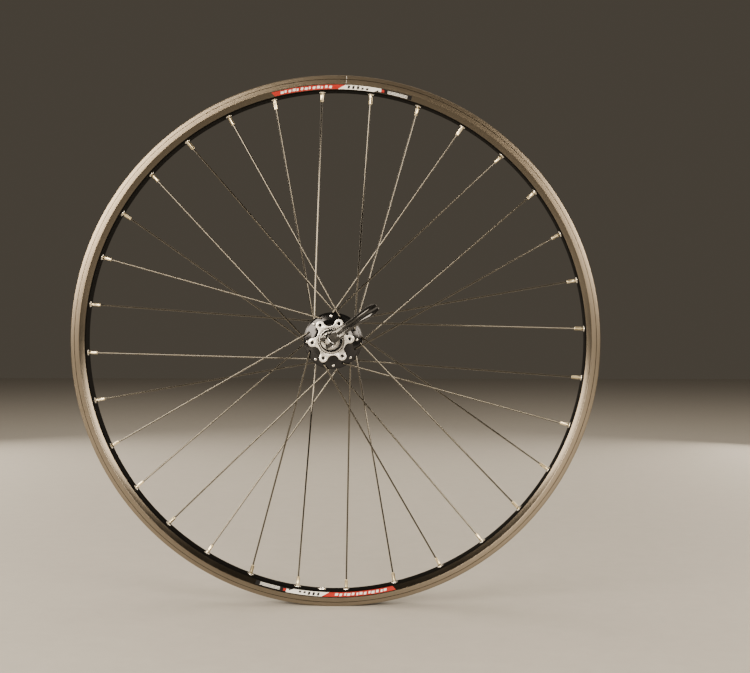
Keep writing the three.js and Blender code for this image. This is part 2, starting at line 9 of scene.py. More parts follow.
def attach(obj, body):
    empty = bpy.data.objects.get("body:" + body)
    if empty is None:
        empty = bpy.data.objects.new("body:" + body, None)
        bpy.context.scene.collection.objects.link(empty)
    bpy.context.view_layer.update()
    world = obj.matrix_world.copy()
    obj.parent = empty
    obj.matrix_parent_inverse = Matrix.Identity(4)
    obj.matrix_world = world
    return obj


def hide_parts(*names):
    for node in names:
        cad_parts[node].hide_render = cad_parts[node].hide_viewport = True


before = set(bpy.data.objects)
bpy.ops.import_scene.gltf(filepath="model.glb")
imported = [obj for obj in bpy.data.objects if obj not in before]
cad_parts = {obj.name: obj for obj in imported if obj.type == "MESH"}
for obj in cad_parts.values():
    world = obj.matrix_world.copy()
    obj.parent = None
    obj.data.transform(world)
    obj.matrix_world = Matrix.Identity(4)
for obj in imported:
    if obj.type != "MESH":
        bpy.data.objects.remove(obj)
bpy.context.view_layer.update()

# All shapes below are in millimetres, in the CAD model's frame: Y along the axle, the disc side at -Y.
MM = 0.001
TAU = 2 * math.pi

# ---------- driving dimensions, as in the CAD model ----------
SPOKES = 32
PITCH = 360 / SPOKES
FIRST_NIPPLE = 2.75
CROSS_TURN = 45
SPOKE_RADIUS = 1.0
HOLE_CIRCLE = 29
DISC_FLANGE_Y = -35
DRIVE_FLANGE_Y = 20
FLANGE_HALF = 1.6
CROSS_RADIUS = 82.4
WEAVE = 1.2
RIM_OUTER = 317
RIM_HALF = 14
RIM_INNER = 299.5
VALVE_ANGLE = FIRST_NIPPLE - 8.5 * PITCH
SEAM_ANGLE = VALVE_ANGLE + 180
ROTOR_Y = -52.2
ROTOR_ANGLE = 5.7
LOCKNUT_Y = 67.5
STUB_Y = 73
CLAMP_Y = 75
CAM_Y = -91
LEVER_ANGLE = 35.7
BOLTS = 6
BOLT_CIRCLE = 22
CLAMP_TEETH = 28
PAWLS = 3


# ---------- mesh making ----------
def polar(radius, angle, y=0.0):
    """A point at a radius and an angle in degrees round the axle."""
    turn = math.radians(angle)
    return Vector((radius * math.cos(turn), y, radius * math.sin(turn)))


def lathe(profile, segments):
    """Turns a closed loop of (radius, y) points about the axle."""
    count = len(profile)
    verts = []
    for i in range(segments):
        turn = TAU * i / segments
        verts += [(r * math.cos(turn), y, r * math.sin(turn)) for r, y in profile]
    faces = []
    for i in range(segments):
        here = i * count
        there = (i + 1) % segments * count
        for k in range(count):
            m = (k + 1) % count
            faces.append((here + k, here + m, there + m, there + k))
    return verts, faces


def grid(rings, caps=True):
    """Joins rings of points, each of the same count, into a tube, with its ends closed."""
    count = len(rings[0])
    verts = [tuple(p) for ring in rings for p in ring]
    faces = []
    for k in range(len(rings) - 1):
        for i in range(count):
            j = (i + 1) % count
            faces.append((k * count + i, k * count + j, (k + 1) * count + j, (k + 1) * count + i))
    if caps:
        last = (len(rings) - 1) * count
        faces.append(tuple(range(count))[::-1])
        faces.append(tuple(last + i for i in range(count)))
    return verts, faces


def prism(outline, y0, y1):
    """An outline of (x, z) points, from y0 to y1 along the axle."""
    return grid([[(x, y, z) for x, z in outline] for y in (y0, y1)])


def tube(points, radii, sides):
    """A round bar along a line of points, with a radius at each point."""
    rings = []
    directions = []
    for i in range(len(points)):
        before = points[max(i - 1, 0)]
        after = points[min(i + 1, len(points) - 1)]
        directions.append((after - before).normalized())
    across = directions[0].orthogonal().normalized()
    for i, (point, radius) in enumerate(zip(points, radii)):
        if i:
            across.rotate(directions[i - 1].rotation_difference(directions[i]))
        upright = directions[i].cross(across)
        ring = []
        for k in range(sides):
            turn = TAU * k / sides
            ring.append(point + radius * (math.cos(turn) * across + math.sin(turn) * upright))
        rings.append(ring)
    return grid(rings)


def filleted(corners, radii, steps):
    """A line through corners, each inner one rounded to its radius."""
    line = [corners[0]]
    for i in range(1, len(corners) - 1):
        corner = corners[i]
        back = (corners[i - 1] - corner).normalized()
        on = (corners[i + 1] - corner).normalized()
        half = back.angle(on) / 2
        reach = radii[i - 1] / math.tan(half)
        centre = corner + (back + on).normalized() * (radii[i - 1] / math.sin(half))
        start = corner + back * reach - centre
        swing = start.rotation_difference(corner + on * reach - centre)
        for k in range(steps[i - 1] + 1):
            part = swing.copy()
            part.angle = swing.angle * k / steps[i - 1]
            point = start.copy()
            point.rotate(part)
            line.append(centre + point)
    line.append(corners[-1])
    return line


def joined(*shapes):
    """Several shapes as one."""
    verts = []
    faces = []
    for more_verts, more_faces in shapes:
        base = len(verts)
        verts += list(more_verts)
        faces += [tuple(base + i for i in face) for face in more_faces]
    return verts, faces


def moved(shape, matrix):
    """A shape turned or shifted by a matrix."""
    verts, faces = shape
    return [tuple(matrix @ Vector(v)) for v in verts], faces


def tidy(mesh, crease):
    """Merges doubles, turns the faces out and shades the mesh smooth up to an angle."""
    work = bmesh.new()
    work.from_mesh(mesh)
    bmesh.ops.remove_doubles(work, verts=work.verts, dist=1e-6)
    bmesh.ops.dissolve_degenerate(work, edges=work.edges, dist=1e-7)
    bmesh.ops.recalc_face_normals(work, faces=work.faces)
    work.to_mesh(mesh)
    work.free()
    mesh.shade_smooth()
    mesh.set_sharp_from_angle(angle=math.radians(crease))


def link_new(name, data):
    """A new object in the scene, from a mesh, a light or a camera."""
    made = bpy.data.objects.new(name, data)
    bpy.context.scene.collection.objects.link(made)
    return made


def solid(name, shape, material, crease=30):
    """A scene object from a shape in millimetres."""
    verts, faces = shape
    mesh = bpy.data.meshes.new(name)
    mesh.from_pydata([(x * MM, y * MM, z * MM) for x, y, z in verts], [], faces)
    mesh.materials.append(material)
    tidy(mesh, crease)
    return link_new(name, mesh)


def with_modifier(piece, kind, crease, **settings):
    """Adds one modifier and applies it."""
    modifier = piece.modifiers.new(kind.lower(), kind)
    for key, value in settings.items():
        setattr(modifier, key, value)
    bpy.context.view_layer.update()
    graph = bpy.context.evaluated_depsgraph_get()
    mesh = bpy.data.meshes.new_from_object(piece.evaluated_get(graph))
    piece.modifiers.clear()
    old = piece.data
    piece.data = mesh
    bpy.data.meshes.remove(old)
    mesh.shade_smooth()
    mesh.set_sharp_from_angle(angle=math.radians(crease))
    return piece


def combine(piece, shape, operation, crease=30):
    """Cuts a shape out of a piece, or adds it."""
    other = solid("cutter", shape, piece.data.materials[0])
    with_modifier(piece, "BOOLEAN", crease, operation=operation, solver="EXACT", object=other)
    bpy.data.objects.remove(other)
    return piece


def rounded(piece, width, segments=2, limit=35):
    """Bevels every edge sharper than a limit in degrees."""
    return with_modifier(piece, "BEVEL", 30, width=width * MM, segments=segments, limit_method="ANGLE",
                         angle_limit=math.radians(limit), harden_normals=False)


def cylinder(start, end, radius, sides):
    return tube([Vector(start), Vector(end)], [radius, radius], sides)


def round_rings(profile, centre_y, sides):
    """A round piece from (radius, z) points, about a line along Z that crosses the axle at centre_y."""
    rings = []
    for radius, z in profile:
        turns = [TAU * i / sides for i in range(sides)]
        rings.append([(radius * math.cos(turn), centre_y + radius * math.sin(turn), z) for turn in turns])
    return grid(rings)


def box(x0, x1, y0, y1, z0, z1):
    return grid([[(x, y0, z0), (x, y1, z0), (x, y1, z1), (x, y0, z1)] for x in (x0, x1)])


# ---------- materials ----------
NOISE_LOW = 0.3
NOISE_HIGH = 0.7
BROAD_SCALE = 28.0
COAT_ROUGHNESS = 0.12
QUARTER_TURN = 0.25
SMOOTHEST = 0.03
# The second material is trim on the hub and the disc mount, and a painted highlight on the spoke heads.
TRIM_AND_HIGHLIGHT_SLOT = 1  # a piece's second material


def node(tree, kind, **values):
    """A shader node, with its inputs or settings given by name."""
    made = tree.nodes.new(kind)
    for key, value in values.items():
        if key in made.inputs.keys():
            made.inputs[key].default_value = value
        else:
            setattr(made, key, value)
    return made


def finish(name, color, roughness, metallic, *, scale, tone, rough_spread, bump, grain="speckle",
           depth=0.00002, coat=0.0, specular=0.5, brushed=0.0):
    """A procedural material. grain is speckle, or turned for tool marks that run round the axle.

    scale is the grain's fineness, tone and rough_spread are how far it changes colour and roughness, and
    bump and depth are its relief. brushed draws the highlights out across marks that run round the axle.
    """
    material = bpy.data.materials.new(name)
    material.use_nodes = True
    tree = material.node_tree
    tree.nodes.clear()
    link = tree.links.new
    out = node(tree, "ShaderNodeOutputMaterial")
    shader = node(tree, "ShaderNodeBsdfPrincipled", Metallic=metallic)
    shader.inputs["Specular IOR Level"].default_value = specular
    if coat:
        shader.inputs["Coat Weight"].default_value = coat
        shader.inputs["Coat Roughness"].default_value = COAT_ROUGHNESS
    if brushed:
        shader.inputs["Anisotropic"].default_value = brushed
        shader.inputs["Anisotropic Rotation"].default_value = QUARTER_TURN
        around = node(tree, "ShaderNodeTangent", direction_type="RADIAL", axis="Y")
        link(around.outputs["Tangent"], shader.inputs["Tangent"])
    link(shader.outputs["BSDF"], out.inputs["Surface"])
    spot = node(tree, "ShaderNodeTexCoord").outputs["Object"]
    if grain == "turned":
        split = node(tree, "ShaderNodeSeparateXYZ")
        link(spot, split.inputs["Vector"])
        flat = node(tree, "ShaderNodeCombineXYZ")
        link(split.outputs["X"], flat.inputs["X"])
        link(split.outputs["Z"], flat.inputs["Y"])
        radius = node(tree, "ShaderNodeVectorMath", operation="LENGTH")
        link(flat.outputs["Vector"], radius.inputs[0])
        ringed = node(tree, "ShaderNodeCombineXYZ")
        link(radius.outputs["Value"], ringed.inputs["X"])
        link(split.outputs["Y"], ringed.inputs["Y"])
        fine_spot = ringed.outputs["Vector"]
    else:
        fine_spot = spot
    fine = node(tree, "ShaderNodeTexNoise", Scale=scale, Detail=3.0, Roughness=0.6)
    link(fine_spot, fine.inputs["Vector"])
    broad = node(tree, "ShaderNodeTexNoise", Scale=BROAD_SCALE, Detail=4.0, Roughness=0.55)
    link(spot, broad.inputs["Vector"])
    both = node(tree, "ShaderNodeMath", operation="MULTIPLY_ADD")
    link(fine.outputs["Fac"], both.inputs[0])
    both.inputs[1].default_value = 0.5
    half = node(tree, "ShaderNodeMath", operation="MULTIPLY")
    link(broad.outputs["Fac"], half.inputs[0])
    half.inputs[1].default_value = 0.5
    link(half.outputs["Value"], both.inputs[2])
    ramp = node(tree, "ShaderNodeValToRGB")
    low, high = ramp.color_ramp.elements
    low.position = NOISE_LOW
    high.position = NOISE_HIGH
    low.color = (*[c * (1 - tone) for c in color], 1)
    high.color = (*[min(1.0, c * (1 + tone)) for c in color], 1)
    link(both.outputs["Value"], ramp.inputs["Fac"])
    link(ramp.outputs["Color"], shader.inputs["Base Color"])
    rough = node(tree, "ShaderNodeMapRange")
    rough.inputs["From Min"].default_value = NOISE_LOW
    rough.inputs["From Max"].default_value = NOISE_HIGH
    rough.inputs["To Min"].default_value = max(SMOOTHEST, roughness - rough_spread / 2)
    rough.inputs["To Max"].default_value = min(1.0, roughness + rough_spread / 2)
    link(both.outputs["Value"], rough.inputs["Value"])
    link(rough.outputs["Result"], shader.inputs["Roughness"])
    if bump:
        relief = node(tree, "ShaderNodeBump", Strength=bump, Distance=depth)
        link(fine.outputs["Fac"], relief.inputs["Height"])
        link(relief.outputs["Normal"], shader.inputs["Normal"])
    return material


RIM_SATIN = finish("rim_satin_wall", (0.25, 0.21, 0.158), 0.33, 1.0,
                   scale=500, tone=0.03, rough_spread=0.0, bump=0.0, brushed=0.8)
RIM_SHOULDER = finish("rim_satin_shoulder", (0.115, 0.099, 0.077), 0.22, 1.0,
                      scale=500, tone=0.06, rough_spread=0.05, bump=0.0)
RIM_BED = finish("rim_black_bed", (0.004, 0.0038, 0.0035), 0.6, 0.0,
                 scale=1100, tone=0.2, rough_spread=0.08, bump=0.02, specular=0.02)
HUB_BLACK = finish("hub_black_anodised", (0.03, 0.03, 0.032), 0.15, 0.9,
                   grain="turned", scale=2400, tone=0.12, rough_spread=0.06, bump=0.05, coat=0.2)
FACED = finish("machined_face", (0.95, 0.93, 0.89), 0.38, 1.0,
               grain="turned", scale=3400, tone=0.05, rough_spread=0.06, bump=0.18)
TURNED = finish("turned_aluminium", (0.82, 0.81, 0.79), 0.24, 1.0,
                grain="turned", scale=3000, tone=0.06, rough_spread=0.08, bump=0.25)
PLATED = finish("plated_steel", (0.84, 0.82, 0.79), 0.17, 1.0,
                scale=1500, tone=0.05, rough_spread=0.08, bump=0.06)
SPOKE_BLACK = finish("spoke_black", (0.13, 0.12, 0.1), 0.08, 1.0,
                     scale=900, tone=0.1, rough_spread=0.02, bump=0.0)
NIPPLE = finish("nipple_plated_brass", (1.0, 0.84, 0.55), 0.3, 1.0,
                scale=1200, tone=0.04, rough_spread=0.06, bump=0.03)
EYELET = finish("eyelet_plated", (0.84, 0.81, 0.74), 0.22, 1.0,
                scale=1600, tone=0.06, rough_spread=0.1, bump=0.08)
RED = finish("red_anodised", (0.72, 0.07, 0.035), 0.28, 0.8,
             grain="turned", scale=2600, tone=0.06, rough_spread=0.08, bump=0.2, coat=0.3)
NICKEL = finish("freehub_nickel", (0.78, 0.71, 0.55), 0.25, 1.0,
                grain="turned", scale=2000, tone=0.08, rough_spread=0.12, bump=0.2)
GROUND = finish("ground_steel", (0.56, 0.56, 0.57), 0.3, 1.0,
                grain="turned", scale=2600, tone=0.1, rough_spread=0.12, bump=0.3)
RUBBER = finish("seal_rubber", (0.02, 0.02, 0.021), 0.62, 0.0,
                scale=1400, tone=0.25, rough_spread=0.15, bump=0.3)
LEVER_BLACK = finish("lever_black_gloss", (0.02, 0.0195, 0.019), 0.12, 0.6,
                     scale=1300, tone=0.2, rough_spread=0.05, bump=0.03, coat=0.8)
BLACK_BAND = finish("clamp_black", (0.02, 0.02, 0.021), 0.24, 0.6,
                    grain="turned", scale=2200, tone=0.15, rough_spread=0.08, bump=0.1, coat=0.4)
DECAL_RED = finish("decal_red", (0.36, 0.016, 0.01), 0.42, 0.0,
                   scale=700, tone=0.06, rough_spread=0.08, bump=0.05, specular=0.25)
DECAL_WHITE = finish("decal_white", (0.84, 0.84, 0.82), 0.42, 0.0,
                     scale=700, tone=0.04, rough_spread=0.08, bump=0.05, specular=0.25)
DECAL_BLACK = finish("decal_black", (0.008, 0.008, 0.009), 0.5, 0.0,
                     scale=700, tone=0.2, rough_spread=0.08, bump=0.05, specular=0.15)


def place(piece, body, slot, *nodes):
    """Rides a piece on a body and hides the CAD nodes that it stands for. slot is not used."""
    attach(piece, body)
    if nodes:
        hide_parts(*nodes)
    return piece


# ---------- rim ----------
RIM_SIDE = [  # from the middle of the tyre well out over the hook and in to the middle of the spoke face
    (307.25, 0.0), (307.25, 1.9), (307.4, 2.05), (307.4, 2.35), (307.2, 2.5), (307.2, 4.9),
    (307.5, 5.9), (309.9, 7.9), (310.7, 8.5), (310.95, 9.2), (311.05, 11.6), (311.4, 12.0),
    (312.0, 12.2), (314.4, 12.2), (315.2, 11.8), (315.9, 11.5), (316.5, 11.6), (316.9, 12.1),
    (317.0, 12.8), (316.9, 13.5), (316.5, 13.85), (316.1, 13.97), (315.8, 14.0), (312.5, 14.0),
    (312.4, 13.75), (312.0, 13.75), (311.9, 14.0), (307.0, 14.0), (306.7, 13.95), (306.3, 13.65),
    (306.05, 13.41), (301.2, 10.58), (300.8, 10.3), (300.2, 9.8), (299.75, 9.2), (299.55, 8.3),
    (299.5, 6.0), (299.5, 0.0),
]
CAVITY_SIDE = [
    (305.7, 0.0), (305.7, 5.3), (306.4, 6.6), (308.8, 10.0), (308.8, 12.0), (307.4, 12.3),
    (306.6, 12.0), (301.6, 9.2), (301.3, 8.4), (301.3, 0.0),
]


def mirrored(side):
    """Half a rim section with its mirror image, as one loop."""
    return [(r, -y) for r, y in side] + [(r, y) for r, y in side[::-1] if y]


VALVE_HOLE = 4.3
NIPPLE_HOLE = 2.9
ACCESS_HOLE = 4.25
BED_SLOT = 1
SHOULDER_SLOT = 2
HOLES_FROM = 296
BED_TOP = 303
WELL_LOW = 304
HOLES_TO = 312
GROOVE_RADII = (311.9, 312.5)
GROOVE_LEVELS = (13.6, 13.99)
BED_HALF = 10.3
WALL_FOOT = 306.9
WALL_FACE = 13.65


def make_rim():
    segments = SPOKES * 10
    rim = solid("rim_extrusion", lathe(mirrored(RIM_SIDE), segments), RIM_SATIN)
    combine(rim, lathe(mirrored(CAVITY_SIDE), segments), "DIFFERENCE")
    cutters = [cylinder(polar(HOLES_FROM, VALVE_ANGLE), polar(HOLES_TO, VALVE_ANGLE), VALVE_HOLE, 28)]
    for i in range(SPOKES):
        angle = FIRST_NIPPLE + i * PITCH
        cutters.append(cylinder(polar(HOLES_FROM, angle), polar(BED_TOP, angle), NIPPLE_HOLE, 20))
        cutters.append(cylinder(polar(WELL_LOW, angle), polar(HOLES_TO, angle), ACCESS_HOLE, 28))
    combine(rim, joined(*cutters), "DIFFERENCE")
    rim.data.materials.append(RIM_BED)
    rim.data.materials.append(RIM_SHOULDER)
    for face in rim.data.polygons:
        x, y, z = face.center / MM
        radius = math.hypot(x, z)
        in_groove = (GROOVE_RADII[0] < radius < GROOVE_RADII[1]
                     and GROOVE_LEVELS[0] < abs(y) < GROOVE_LEVELS[1])
        on_bed = radius < WELL_LOW and abs(y) < BED_HALF
        if in_groove or on_bed:
            face.material_index = BED_SLOT
        elif radius < WALL_FOOT or abs(y) < WALL_FACE:
            face.material_index = SHOULDER_SLOT
    return place(rim, "wheel", "rim_black", "rim")


make_rim()


def aimed(direction):
    """Turns a shape made along +Z so that it points in a direction."""
    return Vector((0, 0, 1)).rotation_difference(direction).to_matrix().to_4x4()


def upright_lathe(profile, segments, square=None):
    """Turns (radius, height) points about Z. square is a height range and the half width of its flats."""
    rings = []
    for radius, height in profile:
        ring = []
        for i in range(segments):
            turn = TAU * i / segments
            reach = radius
            if square and square[0] <= height <= square[1]:
                reach = min(radius, square[2] / max(abs(math.cos(turn)), abs(math.sin(turn))))
            ring.append((reach * math.cos(turn), reach * math.sin(turn), height))
        rings.append(ring)
    return rings


EYELET_PROFILE = [
    (3.62, 299.48), (3.5, 299.1), (3.1, 298.82), (2.6, 298.72), (2.3, 298.9), (2.25, 299.4),
    (2.25, 300.6), (3.4, 301.7), (3.55, 306.9), (3.9, 307.55), (4.4, 307.8), (4.85, 307.6),
    (4.9, 307.3), (4.15, 307.0), (4.0, 306.4), (3.85, 301.6), (2.7, 300.3), (2.65, 299.5),
]


def make_eyelets():
    rings = upright_lathe(EYELET_PROFILE + EYELET_PROFILE[:1], 28)
    master = solid("rim_eyelet_01", grid(rings, caps=False), EYELET)
    for i in range(SPOKES):
        piece = link_new(f"rim_eyelet_{i + 1:02d}", master.data) if i else master
        piece.matrix_world = aimed(polar(1, FIRST_NIPPLE + i * PITCH))
        place(piece, "wheel", "silver_steel")


make_eyelets()


FERRULE_PROFILE = [
    (4.9, 299.45), (4.75, 299.05), (4.2, 298.85), (3.75, 299.0), (3.6, 299.5), (3.6, 307.4),
    (3.9, 307.75), (4.6, 307.75), (4.95, 307.45), (4.25, 307.2), (4.2, 299.6),
]
JOINT_PIN_RADIUS = 315.2
JOINT_PIN_PROFILE = [(0.7, 12.6), (0.7, 14.04), (0.62, 14.18), (0.44, 14.3), (0.2, 14.36), (0.04, 14.38)]
JOINT_LINE_RADII = (307.4, 311.8, 312.6, 315.9)
JOINT_LINE_HALF = 0.11
JOINT_LINE_SUNK = 0.1
JOINT_LINE_PROUD = 0.015


def make_valve_ferrule():
    rings = upright_lathe(FERRULE_PROFILE + FERRULE_PROFILE[:1], 32)
    piece = solid("rim_valve_ferrule", grid(rings, caps=False), EYELET)
    piece.matrix_world = aimed(polar(1, VALVE_ANGLE))
    place(piece, "wheel", "silver_steel")


def make_rim_joint(side, name):
    """Where the rim's two ends are joined, a side wall shows the end of a pin and the joint's line."""
    points = [polar(JOINT_PIN_RADIUS, SEAM_ANGLE, side * y) for _, y in JOINT_PIN_PROFILE]
    pin = tube(points, [radius for radius, _ in JOINT_PIN_PROFILE], 16)
    place(solid(f"rim_joint_pin_{name}", pin, EYELET, 60), "wheel", "silver_steel")
    deep = side * (RIM_HALF - JOINT_LINE_SUNK)
    proud = side * (RIM_HALF + JOINT_LINE_PROUD)
    rings = []
    for radius in JOINT_LINE_RADII:
        across = math.degrees(JOINT_LINE_HALF / radius)
        before = SEAM_ANGLE - across
        after = SEAM_ANGLE + across
        corners = ((before, deep), (after, deep), (after, proud), (before, proud))
        rings.append([polar(radius, angle, y) for angle, y in corners])
    place(solid(f"rim_joint_line_{name}", grid(rings), GROUND), "wheel", "silver_steel")


make_valve_ferrule()
make_rim_joint(-1, "disc")
make_rim_joint(1, "drive")

# ---------- decals, plain bars and panels on the sloping shoulder of the rim ----------
SHOULDER_OUT = (306.15, 13.47)
SHOULDER_IN = (300.95, 10.43)
DECAL_START = 103.5
DECAL_SLANT = -1.9
LETTER_SLANT = -0.2
BASE_LIFT = 0.07
PRINT_LIFT = 0.13
PANEL_STEP = 0.7
PANEL_THICK = 0.05
BAND = (0.05, 0.95)
MARK = (0.25, 0.8)
RED_END = 14.4
WHITE_END = 22.6
BLACK_END = 31.4
MARK_TURNS = (23.7, 24.3, 25.0)
BAR_TURNS = (25.8, 30.4)
BARS = ((0.18, 0.29), (0.42, 0.53), (0.66, 0.74))


def panel(side, start, end, inner, outer, lift, slant=(0.0, 0.0)):
    """A thin panel between two angles, and between two shares of the shoulder's width.

    lift is its height over the shoulder, and slant shifts each end in step with the share.
    """
    slope = Vector((SHOULDER_OUT[0] - SHOULDER_IN[0], SHOULDER_OUT[1] - SHOULDER_IN[1]))
    normal = Vector((-slope.y, slope.x)).normalized()
    steps = max(2, int(abs(end - start) / PANEL_STEP))
    low = lift - PANEL_THICK
    rings = []
    for i in range(steps + 1):
        ring = []
        for share, height in ((inner, low), (outer, low), (outer, lift), (inner, lift)):
            begin = start + slant[0] * share
            until = end + slant[1] * share
            angle = begin + (until - begin) * i / steps
            radius = SHOULDER_IN[0] + slope.x * share + normal.x * height
            y = SHOULDER_IN[1] + slope.y * share + normal.y * height
            ring.append(polar(radius, angle, side * y))
        rings.append(ring)
    return grid(rings)


def decal_red_panels(side, start):
    return [
        panel(side, start, start - RED_END, *BAND, BASE_LIFT, (0.6, DECAL_SLANT)),
        panel(side, start - MARK_TURNS[1], start - MARK_TURNS[2], *MARK, PRINT_LIFT),
    ]


def decal_white_panels(side, start):
    slant = (DECAL_SLANT, DECAL_SLANT)
    shapes = [panel(side, start - RED_END, start - WHITE_END, *BAND, BASE_LIFT, slant)]
    for i in range(13):
        width = (0.66, 0.42, 0.56)[i % 3]
        at = start - 1.3 - i * 0.92
        low = (0.24, 0.3)[i % 2]
        high = (0.72, 0.8)[i % 2]
        shapes.append(panel(side, at, at - width, low, high, PRINT_LIFT, (-0.3, -0.3)))
    shapes.append(panel(side, start - MARK_TURNS[0], start - MARK_TURNS[1], *MARK, PRINT_LIFT))
    for bar in BARS:
        shapes.append(panel(side, start - BAR_TURNS[0], start - BAR_TURNS[1], *bar, PRINT_LIFT))
    return shapes


def decal_black_panels(side, start):
    shapes = [panel(side, start - WHITE_END, start - BLACK_END, *BAND, BASE_LIFT, (DECAL_SLANT, 0.0))]
    for i in range(5):
        at = start - 16.6 - i * 1.05
        high = 0.84 if i < 3 else 0.6
        shapes.append(panel(side, at, at - 0.5, 0.2, high, PRINT_LIFT, (LETTER_SLANT, LETTER_SLANT)))
    return shapes


DECAL_COLOURS = (
    ("red", decal_red_panels, DECAL_RED), ("white", decal_white_panels, DECAL_WHITE),
    ("black", decal_black_panels, DECAL_BLACK),
)


def make_decals():
    for side, side_name in ((-1, "disc"), (1, "drive")):
        for turn, spot in ((0, "top"), (180, "bottom")):
            for colour, panels, material in DECAL_COLOURS:
                shapes = panels(side, DECAL_START + turn)
                name = f"decal_{side_name}_{spot}_{colour}"
                place(solid(name, joined(*shapes), material), "wheel", "rim_black")


make_decals()


# ---------- spokes and nipples ----------
# Each spoke is made with its hub hole at angle 0. lean is 1 or -1, for the way that it leans and for the
# side of the flange that its head is on.
HEAD_GAP = 1.25
ELBOW_GAP = 0.62
ELBOW_RADIUS = 2.3
CROSSING_RADIUS = 420.0
SPOKE_END = 11.0
# The two lengths below mark the faces of a spoke's head that get plated silver: a painted highlight, for
# the bright dots that the light makes on the black heads.
HEAD_HIGHLIGHT_HEIGHT = 1.0
HEAD_HIGHLIGHT_REACH = 2.6


def crossing_angle(lean):
    """The angle at which a spoke passes the one that it crosses."""
    nipple = polar(RIM_INNER, CROSS_TURN * lean)
    hole = polar(HOLE_CIRCLE, 0)
    along = (nipple - hole).normalized()
    foot = hole.dot(along)
    offset = (hole - along * foot).length
    point = hole + along * (math.sqrt(CROSS_RADIUS ** 2 - offset ** 2) - foot)
    return math.degrees(math.atan2(point.z, point.x))


def spoke_line(flange_y, lean):
    """The head's top, the elbow, the crossing, the nipple's place and the direction of the spoke's end."""
    away = math.copysign(1, flange_y) * lean
    top = polar(HOLE_CIRCLE, 0, flange_y - away * (FLANGE_HALF + HEAD_GAP))
    elbow = polar(HOLE_CIRCLE, 0, flange_y + away * (FLANGE_HALF + SPOKE_RADIUS + ELBOW_GAP))
    straight = 1 - (CROSS_RADIUS - HOLE_CIRCLE) / (RIM_INNER - HOLE_CIRCLE)
    cross = polar(CROSS_RADIUS, crossing_angle(lean), flange_y * straight - away * WEAVE)
    nipple = polar(RIM_INNER, CROSS_TURN * lean)
    along = (nipple - cross).normalized()
    return top, elbow, cross, nipple, along


HEAD_PROFILE = [(0.0, 0.5), (0.1, 1.05), (0.28, 1.5), (0.55, 1.82), (0.85, 1.9), (1.0, 1.8), (1.12, 1.05)]


def make_spoke(name, flange_y, lean):
    top, elbow, cross, nipple, along = spoke_line(flange_y, lean)
    end = nipple - along * SPOKE_END
    line = filleted([top, elbow, cross, end], [ELBOW_RADIUS, CROSSING_RADIUS], [8, 6])
    drop = (elbow - top).normalized()
    head = [top + drop * depth for depth, _ in HEAD_PROFILE]
    wire = line[1:]
    radii = [radius for _, radius in HEAD_PROFILE] + [SPOKE_RADIUS] * len(wire)
    piece = solid(name, tube(head + wire, radii, 12), SPOKE_BLACK, crease=50)
    piece.data.materials.append(PLATED)
    # Painted highlight: the head's faces get plated silver in place of the black spoke finish.
    for face in piece.data.polygons:
        offset = face.center / MM - top
        if offset.dot(drop) < HEAD_HIGHLIGHT_HEIGHT and offset.length < HEAD_HIGHLIGHT_REACH:
            face.material_index = TRIM_AND_HIGHLIGHT_SLOT
    return piece


NIPPLE_PROFILE = [
    (1.15, -12.0), (1.45, -11.9), (1.62, -11.5), (1.95, -11.2), (2.05, -10.6), (2.05, -4.2),
    (2.05, -3.6), (1.98, -3.0), (1.98, 1.0), (2.05, 1.2), (2.9, 2.3), (3.0, 2.8), (3.0, 4.0),
    (2.75, 4.5), (1.6, 4.75),
]


def make_nipple():
    """A nipple along Z, with its driver slot and the hole that the spoke goes into."""
    rings = upright_lathe(NIPPLE_PROFILE, 24, square=(-11.0, -3.9, 1.62))
    piece = solid("spoke_nipple", grid(rings), NIPPLE, crease=32)
    combine(piece, box(-3.5, 3.5, -0.45, 0.45, 3.7, 6.0), "DIFFERENCE")
    combine(piece, cylinder((0, 0, -13), (0, 0, -9.0), 1.12, 16), "DIFFERENCE")
    return piece


def make_spokes():
    nipple_master = make_nipple()
    for side, flange_y, shift in (("disc", DISC_FLANGE_Y, 0.0), ("drive", DRIVE_FLANGE_Y, PITCH)):
        masters = {}
        for i in range(SPOKES // 2):
            lean = 1 if i % 2 else -1
            number = f"{side}_{i + 1:02d}"
            if lean in masters:
                wire = link_new(f"spoke_wire_{number}", masters[lean].data)
            else:
                wire = make_spoke(f"spoke_wire_{number}", flange_y, lean)
                masters[lean] = wire
            hole_angle = FIRST_NIPPLE + shift + 2 * i * PITCH
            turn = Matrix.Rotation(-math.radians(hole_angle), 4, "Y")
            wire.matrix_world = turn
            place(wire, "wheel", "spoke_black", f"spoke_{number}")
            *_, nipple_point, along = spoke_line(flange_y, lean)
            nipple = link_new(f"nipple_{number}", nipple_master.data)
            spin = Matrix.Rotation(random.Random(i + len(side)).uniform(0, math.pi), 4, "Z")
            nipple.matrix_world = turn @ Matrix.Translation(nipple_point * MM) @ aimed(along) @ spin
            place(nipple, "wheel", "silver_steel")
    bpy.data.objects.remove(nipple_master)


make_spokes()


# ---------- hub ----------
FLANGE_EDGE = [
    (30.8, -FLANGE_HALF), (32.4, -1.25), (33.2, -0.7), (33.5, 0.0), (33.2, 0.7), (32.4, 1.25),
    (30.8, FLANGE_HALF),
]
SPOKE_HOLE = 1.3
RECESS_Y = -51
RECESS_RING = (13.6, 14.5)


def flange_profile(y):
    """A flange's edge, from the face towards the disc side to the other face."""
    return [(r, y + offset) for r, offset in FLANGE_EDGE]


